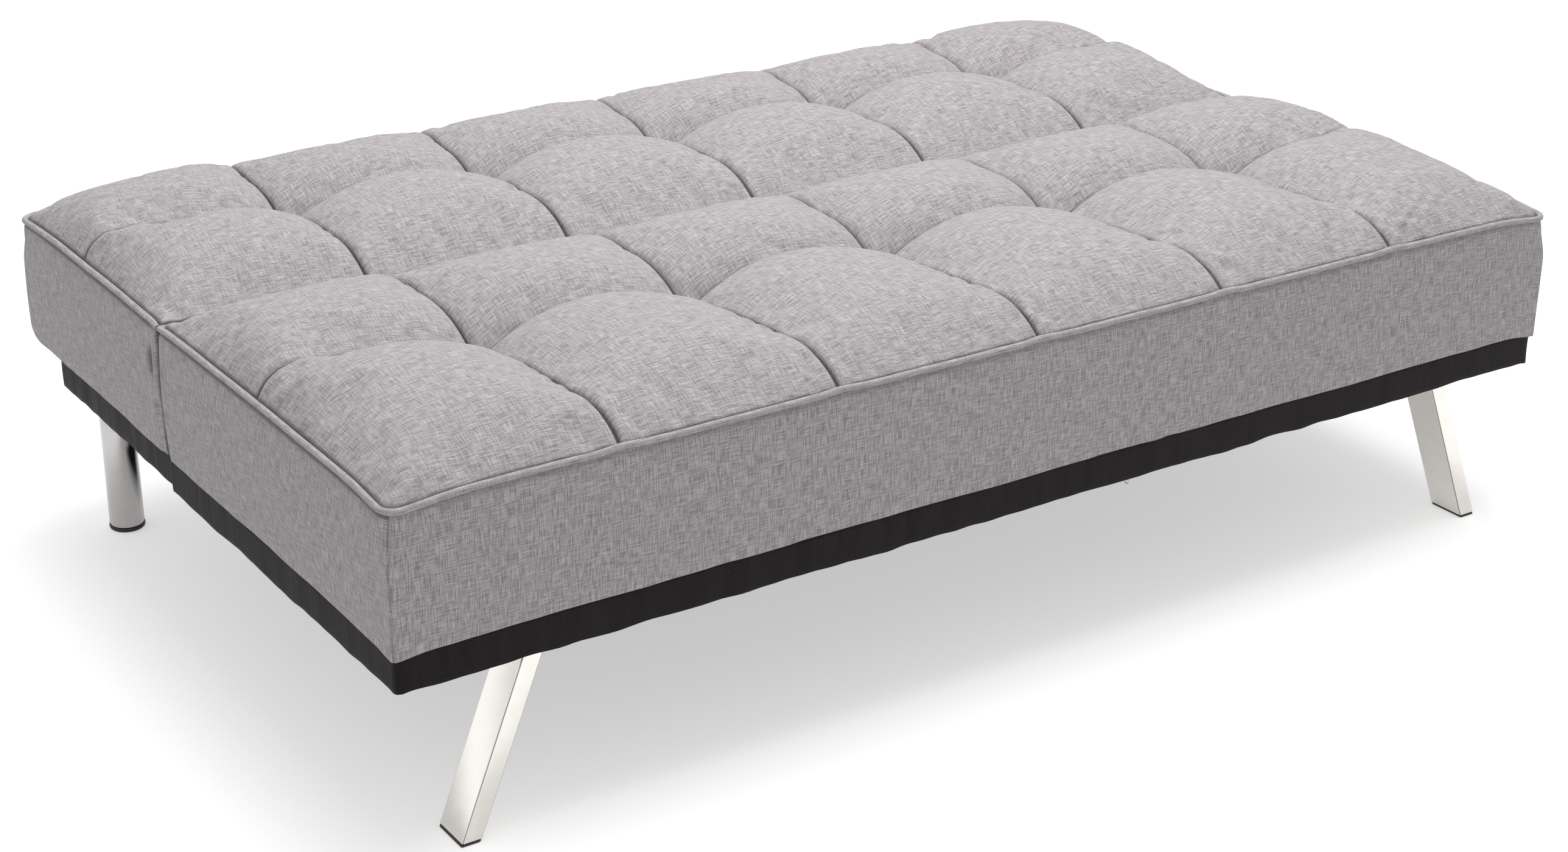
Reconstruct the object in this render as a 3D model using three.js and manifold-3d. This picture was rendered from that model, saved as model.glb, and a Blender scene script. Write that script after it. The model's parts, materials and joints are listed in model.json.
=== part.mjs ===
// A click clack sofa bed, lying flat. All lengths are in millimetres, Z is up and Z = 0 is the floor.
// X runs along the sofa and Y runs from the front of the seat to the far edge of the back.
// The origin lies on the floor under the middle of the bed.
import * as THREE from 'three';
import { mergeVertices } from 'three/addons/utils/BufferGeometryUtils.js';
import Module from 'manifold-3d';

const wasm = await Module();
wasm.setup();

// Overall sizes
const sofaLength = 1700; // end to end, over the piping
const seatDepth = 610; // from the front of the sofa to the fold
const backDepth = 480; // from the fold to the far edge of the back
const seatSeamFromFront = 340; // the seam between the seat's two rows of tufts
const backSeamFromFold = 262; // the seam between the back's two rows of tufts
const columns = 6; // tufts along the sofa
const floorToBase = 214; // floor to the underside of the base
const baseHeight = 43; // black base
const sideHeight = 169; // grey side, from the base to the middle of the piping

// Tufted tops, measured from the middle of the piping
const crownRise = 46; // top of each tuft
const seamRise = 17; // middle of each inner seam
const tuftDrop = 21; // where two inner seams cross
const cornerDrop = 4; // outer corners
const crownPower = 2.2; // how full a tuft is between its seams
const cornerPull = 3; // how far a cushion's upright corner is drawn in
const sideDraw = 3; // how far the long sides are drawn in between their corners
const endDraw = 1.5; // the same for the ends
const waistDraw = 2; // how far the foam's sides are drawn in at half height
const tuftStepCount = 7; // faces across a tuft

// Clearances
const fit = 0.3; // between pieces that touch
const foldGap = 1.6; // between the seat and the back at the fold
const overrun = 5; // how far a cutting solid runs past what it cuts

// Fold
const pivotDrop = 14; // pivot below the middle of the piping
const notchDepth = 2; // foot of the fold's groove below the pivot
const notchAngle = 48; // slope of the groove's sides, in degrees

// Piping and side panels
const pipingDiameter = 8.5;
const pipingCorner = 6; // bend radius of the piping's middle line
const sideInset = 2; // side panel behind the piping's outer edge
const sideThickness = 6.5; // fabric on wadding
const tuckRadius = 30; // the back's far lower edge
const tuckStepCount = 8;
const tuckClearShare = 0.25; // far tube above the back's underside, of that radius

// Base
const frontCoverInset = 6; // black cover behind the seat's outline
const rearCoverInset = 12; // the same under the back
const rearBaseShort = 85; // the base ends this far before the back does
const coverThickness = 1.8;
const dustCoverThickness = 1.5;
const railWidth = 22;
const rearRailWidth = 46; // wide enough for the rear legs' studs
const crossRailWidth = 54;
const cornerBlockWidth = 70;
const cornerBlockDepth = 62;

// Front legs
const legWidth = 25; // along X
const legDepth = 55; // along Y
const legWall = 1.8;
const legFootInset = 73; // foot's outer face from the end of the sofa
const legFrontInset = 10.5; // front face from the front of the sofa
const legLean = 84; // how far the top stands inwards of the foot
const glideHeight = 4;
const glidePlug = 12; // part of the glide inside the tube
const plateThickness = 3.4;
const plateInner = 22; // plate past the leg, inwards
const plateBehind = 40; // plate past the leg, backwards

// Rear legs
const rearLegDiameter = 46;
const rearLegWall = 1.8;
const rearLegInset = 70; // axis from the end of the sofa
const rearLegFromRear = 110; // axis from the far edge of the back
const rearLegLid = 4; // closed top of the tube
const capHeight = 7;
const capProud = 0.9; // cap past the tube
const capPlug = 11;

// Bolts
const boltDiameter = 6;
const boltHeadDiameter = 11;
const boltHeadHeight = 4;
const boltBite = 26; // length of a leg bolt inside the wood
const boltEdge = 11; // bolt middle from the plate's edge
const studDiameter = 8;
const studHeadDiameter = 15;
const studHeadHeight = 6;
const studBite = 30;

// Steel frames under the cushions
const tubeWidth = 25;
const tubeHeight = 40;
const tubeWall = 1.5;
const innerTubeSetback = 30; // cross tube next to the fold, from the fold
const rearTubeFromEdge = 20; // far tube of the back, from its outer edge
const padThickness = 6;
const wireDiameter = 4;
const waveReach = 22; // half the width of a sinuous spring
const seatWaves = 5; // full waves along a seat spring
const backWaves = 4;
const springCount = 6;
const waveStepCount = 4;
const springFromTube = 124.7; // first spring's middle line from the side tube
const springDrop = 3; // wire's middle below the top of the tubes
const springTail = 18; // straight end of a spring
const stayWireDiameter = 2.5;
const stayWireShares = [0.33, 0.67]; // places of the stay wires between the cross tubes

// Click clack hinges
const hingePlate = 5; // thickness of plate and arm
const pivotDiameter = 10;
const pivotHeadDiameter = 15;
const pivotHeadHeight = 2.5;
const eyeDiameter = 18;
const armWidth = 18;
const footLength = 74;
const footHeight = 28;
const footRise = 5; // foot's lower edge above the tube's
const footBoltShares = [0.2, 0.8]; // bolts along the foot
const seatRootShare = 0.5; // where the plate leaves its foot
const backRootShare = 0.25; // where the arm leaves its foot
const boltBiteShare = 1 / 3; // hinge bolt inside the tube, of the tube's width
const seatFootBack = 60; // rear end of the seat plate's foot, from the fold
const backFootFront = 62; // front end of the back arm's foot, from the fold
const quadrantRadius = 42;
const quadrantStart = 183; // in degrees, from +Y towards +Z
const quadrantEnd = 262;
const toothCount = 9;
const toothDepth = 4;
const pawlAngle = 205; // where the pawl meets the teeth, in degrees
const pawlLength = 34;
const pawlTipDiameter = 12;
const pawlRunning = 0.4; // between the pawl's tip and the tops of the teeth
const pawlPinDiameter = 6;
const pawlPinHead = 10;
const pawlBoss = 16;
const pawlSpringWire = 1.2;
const pawlSpringPitch = 1.7;
const pawlSpringTurns = 3;
const turnStepCount = 12;
const slotClear = 2; // foam round the hinge
const slotAbovePivot = 12;

// Zip under the base
const zipFromFront = 17; // zip's middle line
const zipTapeWidth = 16;
const zipTapeThickness = 0.8;
const zipLength = 615; // length of the tape
const zipReach = 165; // its right end, from the sofa's middle
const sliderSetback = 15; // slider's middle from that end
const sliderLength = 9;
const sliderWidth = 8;
const sliderHeight = 3;
const bailHeight = 4;
const bailWire = 1;
const bailSpan = 5.4; // outside of the bail, along X
const pullRadius = 3.4; // middle line of the ring
const pullWire = 1.2;

// Places worked out from the sizes
const halfLength = sofaLength / 2;
const depth = seatDepth + backDepth;
const frontY = -depth / 2;
const rearY = depth / 2;
const foldY = frontY + seatDepth;
const seatEndY = foldY - foldGap / 2;
const backStartY = foldY + foldGap / 2;
const baseTopZ = floorToBase + baseHeight;
const cushionFootZ = baseTopZ + fit;
const pipingZ = baseTopZ + sideHeight;
const pivotZ = pipingZ - pivotDrop;
const sideTopZ = pipingZ - pipingDiameter / 2 - fit;
const sideInner = sideInset + sideThickness;
const coreInset = sideInner + fit;
const coreHalf = halfLength - coreInset - endDraw;
const crossHalf = coreHalf - tubeWidth - fit;
const frameFrontY = frontY + coreInset + sideDraw;
const boltHole = boltDiameter + 2 * fit;
const sides = [[-1, 'left'], [1, 'right']];
const mix = THREE.MathUtils.lerp;

// Materials
const paint = (color, roughness, metalness) =>
  new THREE.MeshStandardMaterial({ color: new THREE.Color(color), roughness, metalness });
const greyLinen = paint(0xaaa5a6, 0.95, 0);
const greyPiping = paint(0x9a9597, 0.95, 0);
const blackCloth = paint(0x232023, 0.7, 0);
const dustCloth = paint(0x1b1a1b, 0.95, 0);
const foamPad = paint(0xd9d6cf, 1, 0);
const pineWood = paint(0xc9a776, 0.8, 0);
const frameSteel = paint(0x2b2c2e, 0.55, 0.4);
const springSteel = paint(0x8b8d90, 0.35, 0.9);
const zincSteel = paint(0xb7babd, 0.35, 0.95);
const chrome = paint(0xe3e0db, 0.08, 1);
const blackPlastic = paint(0x17171a, 0.5, 0);

const sofa = new THREE.Group();

// Adds one named piece
function piece(name, geometry, material, x = 0, y = 0, z = 0) {
  const mesh = new THREE.Mesh(geometry, material);
  mesh.name = name;
  mesh.position.set(x, y, z);
  sofa.add(mesh);
  return mesh;
}

// A shape from its corners and the corners of its triangles
function meshOf(coordinates, triangles) {
  const geometry = new THREE.BufferGeometry();
  geometry.setAttribute('position', new THREE.Float32BufferAttribute(coordinates, 3));
  geometry.setIndex([...triangles]);
  return geometry;
}

// Joins equal corners and drops triangles with no area, so that a shape is one closed skin
function welded(geometry) {
  const bare = geometry.clone();
  bare.deleteAttribute('normal');
  bare.deleteAttribute('uv');
  const merged = mergeVertices(bare);
  const index = merged.index.array;
  const kept = [];
  for (let i = 0; i < index.length; i += 3) {
    const [a, b, c] = [index[i], index[i + 1], index[i + 2]];
    if (a !== b && b !== c && a !== c) kept.push(a, b, c);
  }
  merged.setIndex(kept);
  return merged;
}

// Volume of a closed shape, negative if its faces point inwards
function signedVolume(geometry) {
  const at = geometry.attributes.position;
  const index = geometry.index.array;
  const [a, b, c] = [new THREE.Vector3(), new THREE.Vector3(), new THREE.Vector3()];
  let sum = 0;
  for (let i = 0; i < index.length; i += 3) {
    a.fromBufferAttribute(at, index[i]);
    b.fromBufferAttribute(at, index[i + 1]);
    c.fromBufferAttribute(at, index[i + 2]);
    sum += a.dot(b.cross(c));
  }
  return sum / 6;
}

// A closed shape with its faces pointing outwards
function outward(geometry) {
  const shape = welded(geometry);
  if (signedVolume(shape) < 0) {
    const index = shape.index.array;
    for (let i = 0; i < index.length; i += 3) [index[i], index[i + 1]] = [index[i + 1], index[i]];
  }
  return shape;
}

function toSolid(geometry) {
  const shape = outward(geometry);
  const vertProperties = new Float32Array(shape.attributes.position.array);
  const triVerts = new Uint32Array(shape.index.array);
  return new wasm.Manifold(new wasm.Mesh({ numProp: 3, vertProperties, triVerts }));
}

function toGeometry(solid) {
  const mesh = solid.getMesh();
  return meshOf(mesh.vertProperties, mesh.triVerts);
}

function joined(geometries) {
  return toGeometry(geometries.map(toSolid).reduce((whole, next) => whole.add(next)));
}

function cut(geometry, cutters) {
  const solid = toSolid(geometry);
  return toGeometry(cutters.map(toSolid).reduce((whole, next) => whole.subtract(next), solid));
}

function common(geometry, other) {
  return toGeometry(toSolid(geometry).intersect(toSolid(other)));
}

// A box between two corners
function block(low, high) {
  const size = high.map((value, i) => value - low[i]);
  const box = new THREE.BoxGeometry(...size);
  return box.translate(...low.map((value, i) => value + size[i] / 2));
}

// A round bar between two points
function bar(from, to, diameter, sides = 16) {
  const start = new THREE.Vector3(...from);
  const along = new THREE.Vector3(...to).sub(start);
  const cylinder = new THREE.CylinderGeometry(diameter / 2, diameter / 2, along.length(), sides);
  cylinder.translate(0, along.length() / 2, 0);
  const turn = new THREE.Quaternion().setFromUnitVectors(new THREE.Vector3(0, 1, 0), along.normalize());
  return cylinder.applyQuaternion(turn).translate(...from);
}

// A flat outline of [x, y] points, raised between two heights
function raised(points, lowZ, highZ, hole) {
  const shape = new THREE.Shape(points.map(([x, y]) => new THREE.Vector2(x, y)));
  if (hole) shape.holes.push(new THREE.Path(hole.map(([x, y]) => new THREE.Vector2(x, y))));
  const solid = new THREE.ExtrudeGeometry(shape, { depth: highZ - lowZ, bevelEnabled: false });
  return solid.translate(0, 0, lowZ);
}

// A flat outline of [y, z] points, as thick as the stretch between two places along X
function upright(points, lowX, highX) {
  const turn = new THREE.Matrix4().makeBasis(
    new THREE.Vector3(0, 1, 0), new THREE.Vector3(0, 0, 1), new THREE.Vector3(1, 0, 0));
  return raised(points, lowX, highX).applyMatrix4(turn);
}

// A bar with round ends, as an outline of [y, z] points
function roundEnded([y0, z0], [y1, z1], startDiameter, endDiameter = startDiameter, steps = 8) {
  const heading = Math.atan2(z1 - z0, y1 - y0);
  const points = [];
  const half = (y, z, radius, first) => {
    for (let i = 0; i <= steps; i += 1) {
      const angle = heading + first + Math.PI * i / steps;
      points.push([y + radius * Math.cos(angle), z + radius * Math.sin(angle)]);
    }
  };
  half(y1, z1, endDiameter / 2, -Math.PI / 2);
  half(y0, z0, startDiameter / 2, Math.PI / 2);
  return points;
}

// A rectangular tube between two corners, open at both ends along X or Y
function boxTube(low, high, along) {
  const wall = low.map((value, i) => ('XYZ'[i] === along ? -overrun : tubeWall));
  return cut(block(low, high), [block(low.map((v, i) => v + wall[i]), high.map((v, i) => v - wall[i]))]);
}

// The edge of the seat or of the back seen from above: from the fold at the left end, round the outer
// side, to the fold at the right end. Inset draws it in from the outline of the whole sofa.
const seatEdge = { foldSide: seatEndY, outerSide: frontY, outwards: -1 };
const backEdge = { foldSide: backStartY, outerSide: rearY, outwards: 1 };
function edgePath(edge, inset, corner, steps = 8, arcSteps = 4) {
  const halfX = halfLength - inset;
  const outerY = edge.outerSide - edge.outwards * inset;
  const arcY = outerY - edge.outwards * corner;
  const left = [];
  for (let i = 0; i <= steps; i += 1) {
    const share = i / steps;
    left.push([-halfX + endDraw * Math.sin(Math.PI * share), mix(edge.foldSide, arcY, share)]);
  }
  for (let i = 1; i <= arcSteps && corner > 0; i += 1) {
    const angle = Math.PI / 2 * i / arcSteps;
    const forward = edge.outwards * corner * Math.sin(angle);
    left.push([-halfX + corner * (1 - Math.cos(angle)), arcY + forward]);
  }
  const middle = [];
  const straight = 2 * (halfX - corner);
  for (let i = 1; i < 2 * steps; i += 1) {
    const share = i / (2 * steps);
    const drawn = sideDraw * Math.sin(Math.PI * share);
    middle.push([-halfX + corner + straight * share, outerY - edge.outwards * drawn]);
  }
  return [...left, ...middle, ...left.map(([x, y]) => [-x, y]).reverse()];
}

// The groove along the fold, so that seat and back turn past each other
const grooveTop = pipingZ + crownRise + overrun;
const grooveFoot = pivotZ - notchDepth;
const grooveHalf = (grooveTop - grooveFoot) / Math.tan(THREE.MathUtils.degToRad(notchAngle));
const groove = upright(
  [[foldY, grooveFoot], [foldY + grooveHalf, grooveTop], [foldY - grooveHalf, grooveTop]],
  -halfLength - overrun, halfLength + overrun);

// Room for a hinge inside the foam and the pad
const plateOuterX = coreHalf - tubeWidth - fit;
const plateInnerX = plateOuterX - hingePlate;
const armOuterX = plateInnerX - fit;
const armInnerX = armOuterX - hingePlate;
const slotOuterX = plateOuterX + fit + pivotHeadHeight + slotClear;
const pawlHeadX = armInnerX - 2 * fit - pawlSpringWire - pawlSpringPitch * pawlSpringTurns;
const slotInnerX = pawlHeadX - pivotHeadHeight - slotClear;
function span(side, inner, outer) {
  return side < 0 ? [-outer, -inner] : [inner, outer];
}
function hingeSlot(side, fromY, toY) {
  const [low, high] = span(side, slotInnerX, slotOuterX);
  return block([low, fromY, baseTopZ], [high, toY, pivotZ + slotAbovePivot]);
}

// Heights of a tufted top. The seams sag to the points where they cross, and each tuft swells between them.
function tuftHeights(lastX, lastY, foldRow) {
  const outerRow = lastY - foldRow;
  const crossing = (i, j) => {
    const atEnd = i === 0 || i === lastX;
    if (atEnd && j === outerRow) return pipingZ - cornerDrop;
    if (atEnd || j === outerRow) return pipingZ;
    return j === foldRow ? grooveFoot : pipingZ - tuftDrop;
  };
  // How far the middle of a seam stands above the straight line between its ends
  const bow = (onEdge, from, to) => (onEdge ? 0 : pipingZ + seamRise - (from + to) / 2);
  const bowAlongX = (i, j) => bow(j === 0 || j === lastY, crossing(i, j), crossing(i + 1, j));
  const bowAlongY = (i, j) => bow(i === 0 || i === lastX, crossing(i, j), crossing(i, j + 1));
  const fullness = (share) => 1 - Math.abs(2 * share - 1) ** crownPower;
  const middleShare = 1 / 2;
  // The height at shares s and t of the way over the tuft in column i and row j
  return (i, j, s, t) => {
    const flat = (across, along) => {
      const front = mix(crossing(i, j), crossing(i + 1, j), across);
      return mix(front, mix(crossing(i, j + 1), crossing(i + 1, j + 1), across), along);
    };
    const bowX = (along) => mix(bowAlongX(i, j), bowAlongX(i, j + 1), along);
    const bowY = (across) => mix(bowAlongY(i, j), bowAlongY(i + 1, j), across);
    const centre = flat(middleShare, middleShare) + bowX(middleShare) + bowY(middleShare);
    const swell = pipingZ + crownRise - centre;
    return flat(s, t) + fullness(s) * bowX(t) + fullness(t) * bowY(s) + fullness(s) * fullness(t) * swell;
  };
}

// Places between the first seam and the last, with as many steps over each tuft
function tuftSteps(seams) {
  const places = [];
  for (let n = 0; n <= (seams.length - 1) * tuftStepCount; n += 1) {
    const tuft = Math.min(Math.floor(n / tuftStepCount), seams.length - 2);
    const share = n / tuftStepCount - tuft;
    places.push({ tuft, share, at: mix(seams[tuft], seams[tuft + 1], share) });
  }
  return places;
}

// Tufted cushion with seams at the given places along X and Y. One side lies on the fold, and the other
// three are drawn in between their corners.
function tuftedTop(seamsX, seamsY, foldRow, footZ) {
  const [lastX, lastY] = [seamsX.length - 1, seamsY.length - 1];
  const outerRow = lastY - foldRow;
  const outwards = foldRow === 0 ? 1 : -1;
  const height = tuftHeights(lastX, lastY, foldRow);
  const shareOf = (value, seams) => (value - seams[0]) / (seams[seams.length - 1] - seams[0]);
  const depthHere = seamsY[lastY] - seamsY[0];
  const toOuter = (y) => Math.max(0, 1 - Math.abs(y - seamsY[outerRow]) / depthHere);
  const drawnIn = (x, y, fromEnds, fromOuter) => [
    x - (2 * shareOf(x, seamsX) - 1) * fromEnds,
    y - outwards * toOuter(y) * fromOuter,
  ];
  const [stepsX, stepsY] = [tuftSteps(seamsX), tuftSteps(seamsY)];
  const [endX, endY] = [stepsX.length - 1, stepsY.length - 1];
  const points = [];
  const faces = [];
  stepsY.forEach((row, k) => stepsX.forEach((column, n) => {
    const fromEnds = endDraw * Math.sin(Math.PI * shareOf(row.at, seamsY));
    const fromOuter = sideDraw * Math.sin(Math.PI * shareOf(column.at, seamsX));
    const [x, y] = drawnIn(column.at, row.at, fromEnds, fromOuter);
    const atCorner = (n === 0 || n === endX) && k === (outerRow === 0 ? 0 : endY);
    const pull = atCorner ? cornerPull : 0;
    const z = height(column.tuft, row.tuft, column.share, row.share);
    points.push([x - Math.sign(x) * pull, y - outwards * pull, z]);
  }));
  const at = (n, k) => k * (endX + 1) + n;
  for (let k = 0; k < endY; k += 1) {
    for (let n = 0; n < endX; n += 1) {
      faces.push([at(n, k), at(n + 1, k), at(n + 1, k + 1)], [at(n, k), at(n + 1, k + 1), at(n, k + 1)]);
    }
  }
  const rim = [];
  for (let n = 0; n < endX; n += 1) rim.push(at(n, 0));
  for (let k = 0; k < endY; k += 1) rim.push(at(endX, k));
  for (let n = endX; n > 0; n -= 1) rim.push(at(n, endY));
  for (let k = endY; k > 0; k -= 1) rim.push(at(0, k));
  const below = (z, inwards) => rim.map((from) => {
    points.push([...drawnIn(points[from][0], points[from][1], inwards, inwards), z]);
    return points.length - 1;
  });
  const waist = below((footZ + pipingZ) / 2, waistDraw);
  const foot = below(footZ, 0);
  for (const [upper, lower] of [[rim, waist], [waist, foot]]) {
    upper.forEach((a, n) => {
      const next = (n + 1) % upper.length;
      faces.push([a, lower[n], upper[next]], [upper[next], lower[n], lower[next]]);
    });
  }
  points.push([0, (seamsY[0] + seamsY[lastY]) / 2, footZ]);
  foot.forEach((from, n) => faces.push([from, points.length - 1, foot[(n + 1) % foot.length]]));
  return meshOf(points.flat(), faces.flat());
}

const seamsX = [];
for (let i = 0; i <= columns; i += 1) seamsX.push(mix(-halfLength, halfLength, i / columns));
seamsX[0] += coreInset;
seamsX[columns] -= coreInset;
const seatSeams = [frontY + coreInset, frontY + seatSeamFromFront, seatEndY];
const backSeams = [backStartY, foldY + backSeamFromFold, rearY - coreInset];

// A path whose steps fall on its own points, so that bends get the points and straights don't
class PointPath extends THREE.Curve {
  constructor(points) {
    super();
    this.points = points.map((point) => new THREE.Vector3(...point));
  }

  getPoint(t, target = new THREE.Vector3()) {
    const place = t * (this.points.length - 1);
    const before = Math.min(Math.floor(place), this.points.length - 2);
    return target.lerpVectors(this.points[before], this.points[before + 1], place - before);
  }

  getPointAt(u, target) {
    return this.getPoint(u, target);
  }

  getTangentAt(u, target) {
    return this.getTangent(u, target);
  }
}

// A round tube along points, from flat end to flat end
function wireAlong(points, diameter, sides) {
  const ring = [];
  for (let i = 0; i < sides; i += 1) {
    const angle = 2 * Math.PI * (i + 0.5) / sides;
    ring.push(new THREE.Vector2(Math.cos(angle), Math.sin(angle)).multiplyScalar(diameter / 2));
  }
  const path = new PointPath(points);
  return new THREE.ExtrudeGeometry(new THREE.Shape(ring), { extrudePath: path, steps: points.length - 1 });
}

// Base: wooden rails with a black cover round them and a dust cover below
const coverFrontHalf = halfLength - frontCoverInset;
const coverRearHalf = halfLength - rearCoverInset;
const coverFrontY = frontY + frontCoverInset;
const baseEndY = rearY - rearBaseShort;
const railFrontHalf = coverFrontHalf - coverThickness - fit;
const railRearHalf = coverRearHalf - coverThickness - fit;
const railFrontY = coverFrontY + coverThickness + fit;
const railEndY = baseEndY - coverThickness - fit;
const railFootZ = floorToBase + dustCoverThickness + fit;
const midRailStart = foldY - railWidth;
const midRailEnd = foldY + railWidth;
const plateTopZ = floorToBase - fit;
const plateFootZ = plateTopZ - plateThickness;
const legTopZ = plateFootZ - fit;
const legFrontY = frontY + legFrontInset;

// Front leg bolts: two beside the leg, one behind it
function legBoltPlaces(side) {
  const innerFace = halfLength - legFootInset - legLean - legWidth;
  const beside = side * (innerFace - plateInner / 2);
  const behindY = legFrontY + legDepth + plateBehind - boltEdge;
  return [
    [beside, legFrontY + legDepth - boltEdge],
    [beside, behindY],
    [side * (innerFace + legWidth - boltEdge), behindY],
  ];
}
const legBoltHoles = sides.flatMap(([side]) => legBoltPlaces(side).map(([x, y]) =>
  bar([x, y, plateFootZ - overrun], [x, y, railFootZ + boltBite + fit], boltHole)));
const rearLegPlaces = sides.map(([side]) => [side * (halfLength - rearLegInset), rearY - rearLegFromRear]);
const studHole = studDiameter + 2 * fit;
const studHoles = rearLegPlaces.map(([x, y]) =>
  bar([x, y, floorToBase - rearLegLid - 2 * overrun], [x, y, railFootZ + studBite + fit], studHole));

function addBase() {
  const rail = (name, low, high, holes = []) =>
    piece(name, cut(block([...low, railFootZ], [...high, baseTopZ]), holes), pineWood);
  rail('base_front_rail', [-railFrontHalf, railFrontY], [railFrontHalf, railFrontY + railWidth]);
  rail('base_mid_rail', [-railRearHalf, midRailStart], [railRearHalf, midRailEnd]);
  const rearRailY = railEndY - rearRailWidth;
  rail('base_rear_rail', [-railRearHalf, rearRailY], [railRearHalf, railEndY], studHoles);
  const crossFrontY = railFrontY + railWidth + fit;
  const plateWidth = legWidth + plateInner;
  const crossOuter = halfLength - legFootInset - legLean + (crossRailWidth - plateWidth) / 2;
  const blockOuter = railRearHalf - railWidth - fit;
  for (const [side, label] of sides) {
    const [frontLow, frontHigh] = span(side, railFrontHalf - railWidth, railFrontHalf);
    rail(`base_side_rail_front_${label}`, [frontLow, crossFrontY], [frontHigh, midRailStart - fit]);
    const [rearLow, rearHigh] = span(side, railRearHalf - railWidth, railRearHalf);
    rail(`base_side_rail_rear_${label}`, [rearLow, midRailEnd + fit], [rearHigh, rearRailY - fit]);
    const [crossLow, crossHigh] = span(side, crossOuter - crossRailWidth, crossOuter);
    rail(`base_cross_rail_${label}`, [crossLow, crossFrontY], [crossHigh, midRailStart - fit], legBoltHoles);
    const [blockLow, blockHigh] = span(side, blockOuter - cornerBlockWidth, blockOuter);
    const blockRearY = rearRailY - fit;
    rail(`base_corner_block_${label}`, [blockLow, blockRearY - cornerBlockDepth], [blockHigh, blockRearY]);
  }
  const band = (half, openY, closedY, inwards) => {
    const inner = half - coverThickness;
    const innerY = closedY + inwards * coverThickness;
    const outside = [[-half, openY], [-half, closedY], [half, closedY], [half, openY]];
    const inside = [[inner, openY], [inner, innerY], [-inner, innerY], [-inner, openY]];
    return outward(raised([...outside, ...inside], floorToBase, baseTopZ));
  };
  piece('base_cover_front', band(coverFrontHalf, foldY - fit / 2, coverFrontY, 1), blackCloth);
  piece('base_cover_rear', band(coverRearHalf, foldY + fit / 2, baseEndY, -1), blackCloth);
  const dust = [
    [-railFrontHalf, railFrontY], [railFrontHalf, railFrontY], [railFrontHalf, foldY - fit],
    [railRearHalf, foldY - fit], [railRearHalf, railEndY], [-railRearHalf, railEndY],
    [-railRearHalf, foldY - fit], [-railFrontHalf, foldY - fit],
  ];
  const sheet = raised(dust, floorToBase, floorToBase + dustCoverThickness);
  piece('dust_cover', cut(sheet, [...legBoltHoles, ...studHoles]), dustCloth);
}

// Front legs: rectangular tubes that lean outwards to the floor, each under a plate
function addFrontLegs() {
  const rectangle = (inset) => {
    const [farX, farY] = [legWidth - inset, legDepth - inset];
    return [[inset, inset], [farX, inset], [farX, farY], [inset, farY]];
  };
  for (const [side, label] of sides) {
    const lean = new THREE.Matrix4().makeShear(0, 0, 0, 0, -side * legLean / legTopZ, 0);
    const footX = side > 0 ? halfLength - legFootInset - legWidth : -halfLength + legFootInset;
    const standing = (shape) => shape.applyMatrix4(lean).translate(footX, legFrontY, 0);
    const tube = raised(rectangle(0), glideHeight + fit, legTopZ, rectangle(legWall));
    piece(`front_leg_${label}`, standing(tube), chrome);
    const pad = raised(rectangle(0), 0, glideHeight);
    const plug = raised(rectangle(legWall + fit), glideHeight - fit, glideHeight + glidePlug);
    piece(`front_leg_glide_${label}`, standing(joined([pad, plug])), blackPlastic);
    const outerX = halfLength - legFootInset - legLean;
    const innerX = outerX - legWidth - plateInner;
    const [low, high] = span(side, innerX, outerX);
    const plate = block([low, legFrontY, plateFootZ], [high, legFrontY + legDepth + plateBehind, plateTopZ]);
    const bolts = legBoltPlaces(side).flatMap(([x, y]) => [
      bar([x, y, plateFootZ - boltHeadHeight], [x, y, plateFootZ + fit], boltHeadDiameter, 6),
      bar([x, y, plateFootZ], [x, y, railFootZ + boltBite], boltDiameter, 10),
    ]);
    piece(`front_leg_plate_${label}`, joined([plate, ...bolts]), chrome);
  }
}

// Rear legs: round tubes with a closed top, a stud into the corner block and a cap below
function addRearLegs() {
  const outer = rearLegDiameter / 2;
  const inner = outer - rearLegWall;
  const tubeTop = floorToBase - fit;
  const turned = (profile) => {
    const lathe = new THREE.LatheGeometry(profile.map(([r, z]) => new THREE.Vector2(r, z)), 32);
    return outward(lathe.rotateX(Math.PI / 2));
  };
  const hole = studHole / 2;
  const tube = [
    [inner, capHeight + fit], [outer, capHeight + fit], [outer, tubeTop], [hole, tubeTop],
    [hole, tubeTop - rearLegLid], [inner, tubeTop - rearLegLid], [inner, capHeight + fit],
  ];
  const plugRadius = inner - fit;
  const cap = [
    [0, 0], [outer + capProud, 0], [outer + capProud, capHeight], [plugRadius, capHeight],
    [plugRadius, capHeight + capPlug], [0, capHeight + capPlug],
  ];
  sides.forEach(([, label], k) => {
    const [x, y] = rearLegPlaces[k];
    piece(`rear_leg_${label}`, turned(tube), chrome, x, y);
    piece(`rear_leg_cap_${label}`, turned(cap), blackPlastic, x, y);
    const headTop = tubeTop - rearLegLid - fit;
    const head = bar([x, y, headTop - studHeadHeight], [x, y, headTop], studHeadDiameter, 6);
    const shankFoot = headTop - studHeadHeight / 2;
    const shank = bar([x, y, shankFoot], [x, y, railFootZ + studBite], studDiameter, 12);
    piece(`rear_leg_stud_${label}`, joined([head, shank]), zincSteel);
  });
}

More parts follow.
